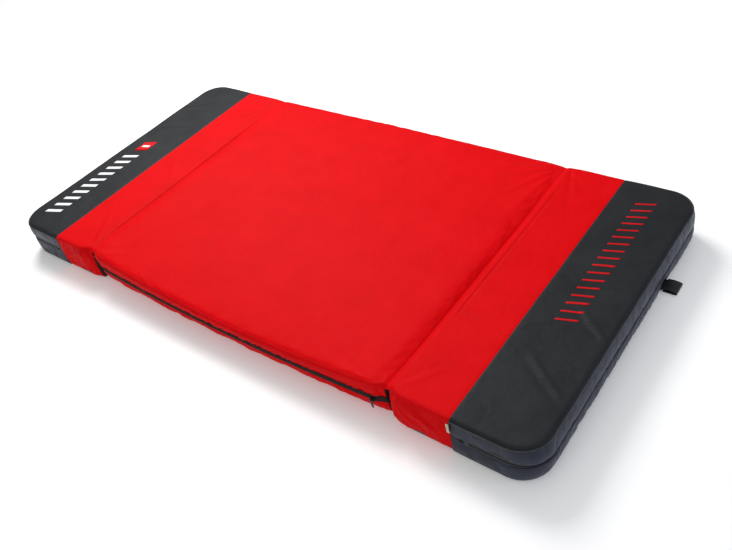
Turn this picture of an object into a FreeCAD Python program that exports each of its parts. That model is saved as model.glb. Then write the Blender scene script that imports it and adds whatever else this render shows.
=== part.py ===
"""Gatefold bouldering crash pad: a wide centre section with a wing hinged on each end.

Millimetres, +Z up. X runs along the pad and Y across it. The origin is the middle of the
underside. Each section is a stack of foam sheets in a sewn fabric cover. The wings turn on
fabric hinges at the landing surface, and fold up and over onto the centre section.
"""

import FreeCAD, Part
import os
import Sketcher

V = FreeCAD.Vector
ROT = FreeCAD.Rotation

doc = FreeCAD.newDocument("CrashPad")
sheet = doc.addObject("Spreadsheet::Sheet", "Sizes")

# ---------------------------------------------------------------- driving dimensions
SIZES = [
    ("pad_length", 2000, "wing end to wing end"),
    ("pad_width", 1000, "front to rear"),
    ("pad_height", 130, "thickness of every section"),
    ("wing_length", 405, "wing end to hinge line"),
    ("colour_join", 220, "wing end to the seam between end cap and red fabric"),
    ("corner_radius", 80, "plan radius of the wings' outer corners"),
    ("hinge_gap", 14, "gap between the sections under the hinge fabric"),
    ("fabric", 1.5, "thickness of the coated cover fabric"),
    ("firm_sheet", 20, "closed-cell sheets above and below the core"),
    ("zip_height", 18, "height of the zip slot in the side bands"),
    ("zip_level", 65, "height of the zip's centreline"),
    ("zip_start", 176, "wing end to where the wing zip begins"),
    ("centre_zip", 1130, "length of the centre section's zip"),
    ("tape", 1, "thickness of zip tape"),
    ("tape_inset", 0.4, "zip tape lies this far behind the side band's face"),
    ("teeth_height", 6, "height of the zip's coil"),
    ("teeth_proud", 1.3, "the coil stands this far outside the side band"),
    ("binding", 3, "section of the edge binding"),
    ("webbing_width", 46, "closure webbing"),
    ("webbing", 2.5, "thickness of closure webbing"),
    ("strap_place", 240, "closure webbing's distance from the middle line"),
    ("strap_root", 14, "wing end to the sewn root of stowed webbing"),
    ("strap_length", 298, "sewn root to the bar of the closure hook"),
    ("loop_length", 40, "closure loop, root to nose"),
    ("loop_gap", 5.6, "space inside a closure loop"),
    ("loop_level", 6.6, "height of the standing loop's middle"),
    ("hook_width", 54, "closure hook, across the webbing"),
    ("hook_length", 46, "closure hook, bar to tip"),
    ("hook_plate", 3, "thickness of the closure hook, and its bar's diameter"),
    ("tray_rim", 10, "wing end to its trays"),
    ("tray_side", 6, "room beside a strap in its tray"),
    ("strap_tray", 13, "depth of the wing's dish for stowed webbing"),
    ("harness_tray", 15, "depth of the centre section's dish for the harness"),
    ("stow", 1, "stowed pieces lie this far above the underside"),
    ("slack", 0.3, "running clearance between moving pieces"),
    ("centre_slider", 552, "centre zip's slider, along the pad"),
    ("wing_slider", 834, "wing zip's slider, along the pad"),
    ("slider_length", 16, "zip slider"),
    ("slider_height", 11, "zip slider"),
    ("slider_plate", 2.2, "thickness of the slider's outer plate"),
    ("slider_bar", 5.2, "slider's bar, out from the coil"),
    ("bar_radius", 0.9, "slider's bar"),
    ("eye_radius", 2.3, "eye of the zip pull"),
    ("pull_width", 6.4, "zip pull"),
    ("pull_length", 27, "zip pull, bar to tip"),
    ("pull_thick", 1.8, "zip pull"),
    ("shoulder_width", 70, "shoulder strap"),
    ("shoulder_length", 480, "padded length of a shoulder strap"),
    ("shoulder_place", 95, "shoulder strap's distance from the middle line"),
    ("shoulder_top", -300, "where the shoulder straps start"),
    ("shoulder_thick", 11, "padded thickness of the harness"),
    ("belt_width", 76, "hip belt"),
    ("belt_reach", 290, "middle line to a belt half's end"),
    ("belt_root", 22, "middle line to a belt half's sewn edge"),
    ("belt_place", 420, "hip belt's distance along the pad"),
    ("lock_gap", 2, "pad end to its ladder lock"),
    ("lock_length", 34, "ladder lock"),
    ("tail_reach", 155, "pad end to the sewn end of its webbing"),
]
for row, (alias, value, meaning) in enumerate(SIZES, start=1):
    sheet.set(f"A{row}", alias)
    sheet.set(f"B{row}", str(value))
    sheet.set(f"C{row}", meaning)
    sheet.setAlias(f"B{row}", alias)
doc.recompute()


def bind(obj, prop, expression):
    """Ties a property to the sheet. Words in the expression are the sheet's aliases."""
    for alias in sorted((s[0] for s in SIZES), key=len, reverse=True):
        expression = expression.replace(f"[{alias}]", f"Sizes.{alias}")
    obj.setExpression(prop, expression)


# Expressions used again and again
END_X = "[pad_length] / 2"
SIDE_Y = "[pad_width] / 2"
HINGE_X = f"({END_X} - [wing_length])"
CENTRE_X = f"({HINGE_X} - [hinge_gap] / 2)"
WING_X = f"({HINGE_X} + [hinge_gap] / 2)"
JOIN_X = f"({END_X} - [colour_join])"
ZIP_X = f"({END_X} - [zip_start])"
LID_Z = "([pad_height] - [fabric])"
BAND_HEIGHT = "([pad_height] - 2 * [fabric])"
ZIP_Z = "([zip_level] - [zip_height] / 2)"
TEETH_Z = "([zip_level] - [teeth_height] / 2)"
CORE_Z = "([fabric] + [firm_sheet])"
CORE_HEIGHT = "([pad_height] - 2 * [fabric] - 2 * [firm_sheet])"
TOP_SHEET_Z = "([pad_height] - [fabric] - [firm_sheet])"
CLOSURES = (("front", "-[strap_place]"), ("rear", "[strap_place]"))


# ---------------------------------------------------------------- ways to make a piece
def box(name, x, y, z):
    """A block from three (from, to) pairs of expressions."""
    b = doc.addObject("Part::Box", name)
    for (low, high), size, axis in zip((x, y, z), ("Length", "Width", "Height"), "xyz"):
        bind(b, size, f"({high}) - ({low})")
        bind(b, f"Placement.Base.{axis}", low)
    return b


def on_side(side, low, high):
    """The same stretch of X on the right (1) or the left (-1) wing."""
    if side > 0:
        return (low, high)
    return (f"-({high})", f"-({low})")


def rod(name, axis, radius, along, beside, z):
    """A round bar along X or Y: along is a (from, to) pair, beside its place on the other axis."""
    c = doc.addObject("Part::Cylinder", name)
    bind(c, "Radius", radius)
    bind(c, "Height", f"({along[1]}) - ({along[0]})")
    if axis == "x":
        c.Placement.Rotation = ROT(V(0, 1, 0), 90)
        bind(c, "Placement.Base.x", along[0])
        bind(c, "Placement.Base.y", beside)
    else:
        c.Placement.Rotation = ROT(V(1, 0, 0), -90)
        bind(c, "Placement.Base.x", beside)
        bind(c, "Placement.Base.y", along[0])
    bind(c, "Placement.Base.z", z)
    return c


def combine(kind, name, base, tool):
    """A Part::Cut or a Part::Common of two objects."""
    c = doc.addObject(kind, name)
    c.Base = base
    c.Tool = tool
    return c


def fuse(name, *objects):
    f = doc.addObject("Part::MultiFuse", name)
    f.Shapes = list(objects)
    f.Refine = True
    return f


def end_plate(name, side, inner_x, inset, z, height):
    """A plate with the wing's plan: straight at inner_x, round at the outer corners.

    It is inset from the wing's outline, and made as a padded sketch. The left wing's
    plates are the right wing's, turned half round.
    """
    body = doc.addObject("PartDesign::Body", name)
    sketch = body.newObject("Sketcher::SketchObject", name + "_plan")
    plane = next(f for f in body.Origin.OriginFeatures if f.Role == "XY_Plane")
    sketch.AttachmentSupport = [(plane, "")]
    sketch.MapMode = "FlatFace"
    x0, x1, y1, r = 600.0, 1000.0, 500.0, 80.0  # rough places, which the constraints set
    corner = V(x1 - r, y1 - r, 0)
    half_pi = 1.5707963267948966
    top = sketch.addGeometry(Part.LineSegment(V(corner.x, y1, 0), V(x0, y1, 0)))
    inner = sketch.addGeometry(Part.LineSegment(V(x0, y1, 0), V(x0, -y1, 0)))
    low = sketch.addGeometry(Part.LineSegment(V(x0, -y1, 0), V(corner.x, -y1, 0)))
    outer = sketch.addGeometry(Part.LineSegment(V(x1, -corner.y, 0), V(x1, corner.y, 0)))
    circles = [Part.Circle(V(corner.x, sy * corner.y, 0), V(0, 0, 1), r) for sy in (1, -1)]
    rear = sketch.addGeometry(Part.ArcOfCircle(circles[0], 0, half_pi))
    front = sketch.addGeometry(Part.ArcOfCircle(circles[1], -half_pi, 0))
    add = sketch.addConstraint
    Rule = Sketcher.Constraint
    add(Rule("Coincident", top, 2, inner, 1))
    add(Rule("Coincident", inner, 2, low, 1))
    add(Rule("Tangent", rear, 2, top, 1))
    add(Rule("Tangent", rear, 1, outer, 2))
    add(Rule("Tangent", front, 1, low, 2))
    add(Rule("Tangent", front, 2, outer, 1))
    add(Rule("Horizontal", top))
    add(Rule("Horizontal", low))
    add(Rule("Vertical", inner))
    add(Rule("Vertical", outer))
    add(Rule("Equal", rear, front))
    for rule, expression in (
        (Rule("DistanceX", -1, 1, inner, 1, x0), inner_x),
        (Rule("DistanceX", -1, 1, outer, 1, x1), f"{END_X} - ({inset})"),
        (Rule("DistanceY", -1, 1, inner, 1, y1), f"{SIDE_Y} - ({inset})"),
        (Rule("DistanceY", inner, 2, -1, 1, y1), f"{SIDE_Y} - ({inset})"),
        (Rule("Radius", rear, r), f"[corner_radius] - ({inset})"),
    ):
        index = add(rule)
        bind(sketch, f"Constraints[{index}]", expression)
    pad = body.newObject("PartDesign::Pad", name + "_pad")
    pad.Profile = sketch
    bind(pad, "Length", height)
    sketch.Visibility = False
    body.Placement = FreeCAD.Placement(V(0, 0, 0), ROT(V(0, 0, 1), 0 if side > 0 else 180))
    bind(body, "Placement.Base.z", z)
    return body


def end_ring(name, side, inner_x, outside, inside, z, height):
    """A U-shaped band round a wing's end, between two insets from its outline."""
    whole = end_plate(name + "_whole", side, inner_x, outside, z, height)
    hole = end_plate(name + "_hole", side, f"{inner_x} - 5", inside, f"{z} - 5", f"{height} + 10")
    return combine("Part::Cut", name, whole, hole)


# ---------------------------------------------------------------- what is exported
finished = []


def piece(obj):
    """Marks an object as a sub-part. Its Label names its file."""
    obj.Label = obj.Name
    finished.append(obj)
    return obj


def group(name, *objects):
    """Identical pieces that share one sub-part, as separate solids."""
    c = doc.addObject("Part::Compound", name)
    c.Links = list(objects)
    return piece(c)


# ---------------------------------------------------------------- trays for what is stowed
def tray(name, x, y, depth, wall, low):
    """A dish in the underside, made larger all round by the thickness of its wall."""
    return box(
        name,
        (f"{x[0]} - {wall}", f"{x[1]} + {wall}"),
        (f"{y[0]} - {wall}", f"{y[1]} + {wall}"),
        (low, f"{depth} + {wall}"),
    )


def dished(section, plate, foam, trays):
    """Sinks trays into a ground panel and into the foam sheet above it."""
    linings = [tray(f"{section}_lining_{i}", *t, "[fabric]", "0") for i, t in enumerate(trays)]
    hollows = [tray(f"{section}_hollow_{i}", *t, "0", "-5") for i, t in enumerate(trays)]
    seats = [tray(f"{section}_seat_{i}", *t, "[fabric]", "0") for i, t in enumerate(trays)]
    lined = fuse(f"{section}_lined_panel", plate, *linings)
    piece(combine("Part::Cut", f"{section}_ground_panel", lined, together(f"{section}_hollows", hollows)))
    piece(combine("Part::Cut", f"{section}_foam_base_sheet", foam, together(f"{section}_seats", seats)))


def together(name, objects):
    return fuse(name, *objects) if len(objects) > 1 else objects[0]


# ---------------------------------------------------------------- centre section
INSIDE_X = (f"-({CENTRE_X} - [fabric])", f"{CENTRE_X} - [fabric]")
INSIDE_Y = (f"-({SIDE_Y} - [fabric])", f"{SIDE_Y} - [fabric]")
WHOLE_X = (f"-({CENTRE_X})", CENTRE_X)
WHOLE_Y = (f"-({SIDE_Y})", SIDE_Y)
BAND_Z = ("[fabric]", LID_Z)
ZIP_SPAN = (ZIP_Z, f"{ZIP_Z} + [zip_height]")
FRONT_BAND_Y = (f"-({SIDE_Y})", f"-({SIDE_Y} - [fabric])")
REAR_BAND_Y = (f"{SIDE_Y} - [fabric]", SIDE_Y)
BELT_X = ("[belt_place] - [belt_width] / 2", "[belt_place] + [belt_width] / 2")
STRAP_END = "([shoulder_top] + [shoulder_length])"
STRAPS = (("rear", "[shoulder_place]"), ("front", "-[shoulder_place]"))
HARNESS_Z = ("[stow]", "[stow] + [shoulder_thick]")


def centre_section():
    """The foam and cover of the middle section."""
    piece(box("centre_foam_core", INSIDE_X, INSIDE_Y, (CORE_Z, TOP_SHEET_Z)))
    piece(box("centre_foam_top_sheet", INSIDE_X, INSIDE_Y, (TOP_SHEET_Z, LID_Z)))
    piece(box("centre_landing_panel", WHOLE_X, WHOLE_Y, (LID_Z, "[pad_height]")))
    walls = [
        box(f"gap_wall_{n}", on_side(s, f"{CENTRE_X} - [fabric]", CENTRE_X), INSIDE_Y, BAND_Z)
        for n, s in SIDES
    ]
    group("centre_gap_walls", *walls)
    piece(box("centre_rear_band", WHOLE_X, REAR_BAND_Y, BAND_Z))

    # Front band with a slot for the zip, the zip's tape in the slot and its coil outside
    zip_x = ("-[centre_zip] / 2", "[centre_zip] / 2")
    band = box("front_band_whole", WHOLE_X, FRONT_BAND_Y, BAND_Z)
    slot = box("front_zip_slot", zip_x, (f"{FRONT_BAND_Y[0]} - 5", f"{FRONT_BAND_Y[1]} + 5"), ZIP_SPAN)
    piece(combine("Part::Cut", "centre_front_band", band, slot))
    face = f"-({SIDE_Y} - [tape_inset])"
    piece(box("centre_zip_tape", zip_x, (face, f"{face} + [tape]"), ZIP_SPAN))
    teeth = (f"-({SIDE_Y} + [teeth_proud])", face)
    piece(box("centre_zip_coil", zip_x, teeth, (TEETH_Z, f"{TEETH_Z} + [teeth_height]")))

    # Ground panel, with trays for the shoulder straps and the hip belt
    reach = "([shoulder_width] / 2 + [tray_side])"
    strap_x = ("[shoulder_top] - [tray_side]", f"{STRAP_END} + [tail_reach] + [tray_side]")
    trays = [(strap_x, (f"{m} - {reach}", f"{m} + {reach}"), "[harness_tray]") for _, m in STRAPS]
    belt_x = (f"{BELT_X[0]} - [tray_side]", f"{BELT_X[1]} + [tray_side]")
    trays.append((belt_x, ("-[belt_reach] - 60", "[belt_reach] + 60"), "[harness_tray]"))
    plate = box("centre_ground_plate", WHOLE_X, WHOLE_Y, ("0", "[fabric]"))
    foam = box("centre_base_foam", INSIDE_X, INSIDE_Y, ("[fabric]", CORE_Z))
    dished("centre", plate, foam, trays)


def shoulder_strap(name, middle):
    """One padded strap with round corners."""
    half = "[shoulder_width] / 2"
    y = (f"{middle} - {half}", f"{middle} + {half}")
    blank = box(f"shoulder_blank_{name}", ("[shoulder_top]", STRAP_END), y, HARNESS_Z)
    rounded = doc.addObject("Part::Fillet", f"shoulder_pad_{name}")
    rounded.Base = blank
    doc.recompute()
    radius = sheet.shoulder_width * 0.4
    edges = enumerate(blank.Shape.Edges, start=1)
    rounded.Edges = [(i, radius, radius) for i, e in edges if abs(e.tangentAt(0).z) > 0.9]
    return rounded


def ladder_lock(name, middle):
    """A frame with two slots for webbing, at the end of a shoulder strap."""
    start = f"{STRAP_END} + [lock_gap]"
    x = (start, f"{start} + [lock_length]")
    frame = box(f"lock_frame_{name}", x, (f"{middle} - 19", f"{middle} + 19"), ("2", "7"))
    slots = [
        box(
            f"lock_slot_{name}_{i}",
            (f"{start} + {along}", f"{start} + {along} + 3.5"),
            (f"{middle} - 13.5", f"{middle} + 13.5"),
            ("-5", "20"),
        )
        for i, along in enumerate((8, 20))
    ]
    return combine("Part::Cut", f"lock_{name}", frame, fuse(f"lock_slots_{name}", *slots))


def harness():
    """Shoulder straps with their webbing and locks, the two belt halves, and what is sewn down."""
    group("shoulder_straps", *(shoulder_strap(n, m) for n, m in STRAPS))
    group("shoulder_ladder_locks", *(ladder_lock(n, m) for n, m in STRAPS))
    tail_x = (f"{STRAP_END} + 40", f"{STRAP_END} + [tail_reach]")
    tails = [box(f"tail_{n}", tail_x, (f"{m} - 12.5", f"{m} + 12.5"), ("2", "4")) for n, m in STRAPS]
    group("shoulder_webbing", *tails)
    roof = "[harness_tray]"
    top_x = ("[shoulder_top]", "[shoulder_top] + 40")
    top_z = (HARNESS_Z[1], roof)
    end_x = (f"{STRAP_END} + [tail_reach] - 30", f"{STRAP_END} + [tail_reach]")
    patches = [box("belt_patch", BELT_X, ("-[belt_root] + [slack]", "[belt_root] - [slack]"), ("4", roof))]
    for n, m in STRAPS:
        patches.append(box(f"top_patch_{n}", top_x, (f"{m} - 25", f"{m} + 25"), top_z))
        patches.append(box(f"end_patch_{n}", end_x, (f"{m} - 12.5", f"{m} + 12.5"), ("4", roof)))
    group("harness_sewn_patches", *patches)

    for n, s in (("rear", 1), ("front", -1)):
        piece(box(f"hip_belt_{n}_half", BELT_X, on_side(s, "[belt_root]", "[belt_reach]"), HARNESS_Z))

    # Side-release buckle, undone: the socket on the rear half, the prongs on the front half
    wide = ("[belt_place] - 22", "[belt_place] + 22")
    thick = ("2", "12")
    shell = box("socket_shell", wide, ("[belt_reach]", "[belt_reach] + 48"), thick)
    mouth_x = ("[belt_place] - 17", "[belt_place] + 17")
    mouth = box("socket_mouth", mouth_x, ("[belt_reach] + 14", "[belt_reach] + 60"), ("4", "10"))
    piece(combine("Part::Cut", "belt_buckle_socket", shell, mouth))
    base = box("prong_base", wide, ("-[belt_reach] - 16", "-[belt_reach]"), thick)
    arm_y = ("-[belt_reach] - 46", "-[belt_reach] - 16")
    arms = [
        box(f"prong_arm_{i}", (f"[belt_place] + {a - 2.5}", f"[belt_place] + {a + 2.5}"), arm_y, ("4.5", "9.5"))
        for i, a in enumerate((-13.5, 0, 13.5))
    ]
    piece(fuse("belt_buckle_prongs", base, *arms))


# ---------------------------------------------------------------- wings
def wing(side, n):
    """One wing: its foam, its cover, the zip round its end and its bindings."""
    foam_x = f"{WING_X} + [fabric]"
    piece(end_plate(f"{n}_foam_core", side, foam_x, "[fabric]", CORE_Z, CORE_HEIGHT))
    piece(end_plate(f"{n}_foam_top_sheet", side, foam_x, "[fabric]", TOP_SHEET_Z, "[firm_sheet]"))
    piece(box(f"{n}_landing_panel", on_side(side, WING_X, JOIN_X), WHOLE_Y, (LID_Z, "[pad_height]")))
    piece(end_plate(f"{n}_end_cap_panel", side, JOIN_X, "0", LID_Z, "[fabric]"))
    piece(box(f"{n}_gap_wall", on_side(side, WING_X, f"{WING_X} + [fabric]"), INSIDE_Y, BAND_Z))
    band_x = on_side(side, WING_X, JOIN_X)
    front = box(f"{n}_front_side", band_x, FRONT_BAND_Y, BAND_Z)
    rear = box(f"{n}_rear_side", band_x, REAR_BAND_Y, BAND_Z)
    group(f"{n}_side_bands", front, rear)

    # End band with the zip slot, the zip's tape and its coil, all bent round the corners
    beyond = (f"-({SIDE_Y}) - 50", f"{SIDE_Y} + 50")
    zone = on_side(side, ZIP_X, f"{END_X} + 50")
    ring = end_ring(f"{n}_band_ring", side, JOIN_X, "0", "[fabric]", "[fabric]", BAND_HEIGHT)
    slot = box(f"{n}_zip_slot", zone, beyond, ZIP_SPAN)
    piece(combine("Part::Cut", f"{n}_end_band", ring, slot))
    back_face = "[tape_inset] + [tape]"
    tape = end_ring(f"{n}_tape_ring", side, JOIN_X, "[tape_inset]", back_face, ZIP_Z, "[zip_height]")
    zip_zone = box(f"{n}_tape_zone", zone, beyond, ("0", "[pad_height]"))
    piece(combine("Part::Common", f"{n}_zip_tape", tape, zip_zone))
    coil = end_ring(
        f"{n}_coil_ring", side, JOIN_X, "-[teeth_proud]", "[tape_inset]", TEETH_Z, "[teeth_height]"
    )
    coil_zone = box(f"{n}_coil_zone", zone, beyond, ("0", "[pad_height]"))
    piece(combine("Part::Common", f"{n}_zip_coil", coil, coil_zone))

    # Binding folded over the seams above and below the end band
    rings = [
        end_ring(f"{n}_binding_{i}", side, JOIN_X, "-[binding]", "0", z, "[binding]")
        for i, z in enumerate(("[pad_height] - 5", "1"))
    ]
    group(f"{n}_bindings", *rings)

    hinge = n.replace("wing", "hinge_fabric")
    piece(box(hinge, on_side(side, CENTRE_X, WING_X), WHOLE_Y, (LID_Z, "[pad_height]")))


def webbing_tray(side, middle, length):
    """A dish from just inside a wing's end, for webbing that is stowed."""
    across = "([webbing_width] / 2 + [tray_side])"
    x = on_side(side, f"{END_X} - [tray_rim] - {length}", f"{END_X} - [tray_rim]")
    return (x, (f"{middle} - {across}", f"{middle} + {across}"), "[strap_tray]")


def wing_underside(side, n, trays):
    plate = end_plate(f"{n}_ground_plate", side, WING_X, "0", "0", "[fabric]")
    foam_x = f"{WING_X} + [fabric]"
    foam = end_plate(f"{n}_base_foam", side, foam_x, "[fabric]", "[fabric]", "[firm_sheet]")
    dished(n, plate, foam, trays)


# ---------------------------------------------------------------- closure webbing
def outline(*steps):
    """A closed XZ face. A step is a point (x, z), or an arc's middle and end as (x, z, x, z)."""
    edges = []
    here = V(steps[0][0], 0, steps[0][1])
    for step in steps[1:] + steps[:1]:
        there = V(step[-2], 0, step[-1])
        if len(step) == 4:
            edges.append(Part.Arc(here, V(step[0], 0, step[1]), there).toShape())
        else:
            edges.append(Part.LineSegment(here, there).toShape())
        here = there
    return Part.Face(Part.Wire(edges))


def loop_face():
    """Side view of a webbing loop, from its sewn root at 0 to its round nose."""
    inner = sheet.loop_gap / 2
    outer = inner + sheet.webbing
    root = sheet.webbing
    nose = sheet.loop_length - outer
    flare = 12
    around = outline(
        (0, root), (flare, outer), (nose, outer), (nose + outer, 0, nose, -outer), (flare, -outer), (0, -root)
    )
    space = outline(
        (2, 0), (flare, inner), (nose, inner), (nose + inner, 0, nose, -inner), (flare, -inner)
    )
    return around.cut(space)


def closure_loop(name, x, middle, z, turn):
    """A loop standing out to +X, or turned round to lie under the wing."""
    width = sheet.webbing_width
    loop = doc.addObject("Part::Feature", name)
    loop.Shape = loop_face().extrude(V(0, width, 0))
    half = width / 2 if turn == 0 else -width / 2
    loop.Placement = FreeCAD.Placement(V(x, middle - half, z), ROT(V(0, 0, 1), turn))
    piece(loop)


def closure_loops():
    """Two loops on the right wing, and the webbing tails that sew them down."""
    end = sheet.pad_length / 2
    place = sheet.strap_place
    low_level = sheet.stow + sheet.loop_gap / 2 + sheet.webbing
    closure_loop("closure_loop_rear", end + 5, place, sheet.loop_level, 0)
    closure_loop("closure_loop_front", end - sheet.strap_root, -place, low_level, 180)
    half = "[webbing_width] / 2"
    rear = box(
        "loop_tail_rear",
        (END_X, f"{END_X} + 5 - [slack]"),
        (f"[strap_place] - {half}", f"[strap_place] + {half}"),
        ("[loop_level] - [webbing]", "[loop_level] + [webbing]"),
    )
    level = "([stow] + [loop_gap] / 2 + [webbing])"
    front = box(
        "loop_tail_front",
        (f"{END_X} - [strap_root] + [slack]", f"{END_X} - [tray_rim]"),
        (f"-[strap_place] - {half}", f"-[strap_place] + {half}"),
        (f"{level} - [webbing]", f"{level} + [webbing]"),
    )
    group("closure_loop_tails", rear, front)


def strap_face():
    """Side view of a closure strap, from its root at 0 to the loop that holds the hook's bar."""
    web = sheet.webbing
    inner = sheet.hook_plate / 2 + sheet.slack
    outer = inner + web
    bar = sheet.strap_length
    middle = outer
    around = outline(
        (0, 0),
        (bar, 0),
        (bar + outer, middle, bar, 2 * outer),
        (bar - 4, 2 * outer),
        (bar - 24, 2 * web),
        (bar - 60, 2 * web),
        (bar - 60, web),
        (0, web),
    )
    space = outline(
        (bar - 18, web), (bar, web), (bar + inner, middle, bar, middle + inner), (bar - 4, middle + inner)
    )
    return around.cut(space)


def closure_strap(n, middle):
    """A strap stowed under the left wing."""
    strap = doc.addObject("Part::Feature", f"closure_strap_{n}")
    strap.Shape = strap_face().extrude(V(0, sheet.webbing_width, 0))
    root = -(sheet.pad_length / 2 - sheet.strap_root)
    spot = V(root, middle - sheet.webbing_width / 2, sheet.stow)
    strap.Placement = FreeCAD.Placement(spot, ROT())
    piece(strap)


def closure_hook(n, middle):
    """An aluminium hook: a bar for the strap, and a plate with a mouth open on one side."""
    bar_x = f"(-({END_X} - [strap_root]) + [strap_length])"
    level = "([stow] + [hook_plate] / 2 + [slack] + [webbing])"
    half = "[hook_width] / 2"
    thick = (f"{level} - [hook_plate] / 2", f"{level} + [hook_plate] / 2")
    y = (f"{middle} - {half}", f"{middle} + {half}")
    through = (f"{level} - 10", f"{level} + 10")
    plate = box(f"hook_plate_{n}", (bar_x, f"{bar_x} + [hook_length]"), y, thick)
    strap_slot = box(
        f"hook_strap_slot_{n}",
        (f"{bar_x} - 10", f"{bar_x} + 8"),
        (f"{middle} - {half} + 3", f"{middle} + {half} - 3"),
        through,
    )
    mouth = box(
        f"hook_mouth_{n}",
        (f"{bar_x} + 18", f"{bar_x} + 34"),
        (f"{middle} - {half} - 5", f"{middle} + {half} - 8"),
        through,
    )
    cuts = fuse(f"hook_cuts_{n}", strap_slot, mouth)
    flat = combine("Part::Cut", f"hook_flat_{n}", plate, cuts)
    bar = rod(f"hook_bar_{n}", "y", "[hook_plate] / 2", y, bar_x, level)
    piece(fuse(f"closure_hook_{n}", flat, bar))


def strap_tails():
    """Where the closure straps are sewn to the left wing."""
    x = (f"-({END_X} - [tray_rim])", f"-({END_X} - [strap_root] + [slack])")
    half = "[webbing_width] / 2"
    z = ("[stow]", "[stow] + [webbing]")
    tails = [box(f"strap_tail_{n}", x, (f"{m} - {half}", f"{m} + {half}"), z) for n, m in CLOSURES]
    group("closure_strap_tails", *tails)


# ---------------------------------------------------------------- zip sliders
def zip_slider(name, x, facing):
    """A slider on a side band that faces -Y or +Y, and the tab that hangs from its bar."""
    coil = f"({SIDE_Y} + [teeth_proud])"

    def out(low, high):
        return on_side(facing, f"{coil} + {low}", f"{coil} + {high}")

    plate = box(
        f"{name}_plate",
        (f"{x} - [slider_length] / 2", f"{x} + [slider_length] / 2"),
        out("[slack]", "[slack] + [slider_plate]"),
        ("[zip_level] - [slider_height] / 2", "[zip_level] + [slider_height] / 2"),
    )
    inner = "([pull_width] / 2 + 2 * [slack])"
    outer = f"({inner} + 1.4)"
    lug_y = out("[slack] + [slider_plate] - 0.2", "[slider_bar] + [bar_radius] + 0.4")
    lug_z = ("[zip_level] - 2.2", "[zip_level] + 2.2")
    low_lug = box(f"{name}_lug_low", (f"{x} - {outer}", f"{x} - {inner}"), lug_y, lug_z)
    high_lug = box(f"{name}_lug_high", (f"{x} + {inner}", f"{x} + {outer}"), lug_y, lug_z)
    bar_y = out("[slider_bar]", "[slider_bar]")[0]
    bar_x = (f"{x} - {outer} + 0.3", f"{x} + {outer} - 0.3")
    bar = rod(f"{name}_bar", "x", "[bar_radius]", bar_x, bar_y, "[zip_level]")
    piece(fuse(name, plate, low_lug, high_lug, bar))

    eye_x = (f"{x} - [pull_width] / 2", f"{x} + [pull_width] / 2")
    eye = rod(f"{name}_eye", "x", "[eye_radius]", eye_x, bar_y, "[zip_level]")
    tab_y = out("[slider_bar] - [pull_thick] / 2", "[slider_bar] + [pull_thick] / 2")
    tab = box(f"{name}_tab", eye_x, tab_y, ("[zip_level] - [pull_length]", "[zip_level]"))
    hole_x = (f"{eye_x[0]} - 1", f"{eye_x[1]} + 1")
    hole = rod(f"{name}_hole", "x", "[bar_radius] + [slack]", hole_x, bar_y, "[zip_level]")
    whole = fuse(f"{name}_pull_blank", eye, tab)
    piece(combine("Part::Cut", f"{name}_pull", whole, hole))


def woven_tag():
    """A plain tag sewn into the front seam between the red fabric and the end cap."""
    x = (f"{JOIN_X} - 5", f"{JOIN_X} + 3")
    y = (f"-({SIDE_Y}) - 1", f"-({SIDE_Y})")
    piece(box("woven_tag", x, y, ("82", "120")))


# ---------------------------------------------------------------- the whole pad
SIDES = (("right", 1), ("left", -1))
centre_section()
harness()
for word, side in SIDES:
    wing(side, f"{word}_wing")
LOOP_DISH = "([loop_length] + 10)"
STRAP_DISH = "([strap_length] + [hook_length] + 10)"
wing_underside(1, "right_wing", [webbing_tray(1, "-[strap_place]", LOOP_DISH)])
wing_underside(-1, "left_wing", [webbing_tray(-1, m, STRAP_DISH) for _, m in CLOSURES])
for word, place in CLOSURES:
    closure_hook(word, place)
closure_strap("front", -sheet.strap_place)
closure_strap("rear", sheet.strap_place)
strap_tails()
closure_loops()
woven_tag()
zip_slider("centre_zip_slider", "[centre_slider]", -1)
zip_slider("right_wing_zip_slider", "[wing_slider]", 1)
zip_slider("left_wing_zip_slider", "-[wing_slider]", 1)
doc.recompute()

# ---------------------------------------------------------------- checks and export
for obj in doc.Objects:
    if "Invalid" in obj.State or "Error" in obj.State:
        raise RuntimeError(f"{obj.Label} failed: {obj.State}")
os.makedirs("parts", exist_ok=True)
for old in os.listdir("parts"):
    os.remove(os.path.join("parts", old))
for obj in finished:
    shape = obj.Shape
    if shape.isNull() or not shape.isValid() or not shape.Solids:
        raise RuntimeError(f"{obj.Label} has no valid solid")
    shape.exportStep(os.path.join("parts", obj.Label + ".step"))
print(len(finished), "sub-parts")
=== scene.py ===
"""The looks of a gatefold bouldering crash pad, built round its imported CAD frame.

Metres, +Z up. Each cover panel is a grid whose places come from a few shape functions: the
plan outline, the height of the landing surface and the bulge of the side walls. Panels that
meet at a seam take their shared edge from the same functions.
"""

import math
import bpy
import numpy as np
from mathutils import Matrix, Vector, noise


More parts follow.
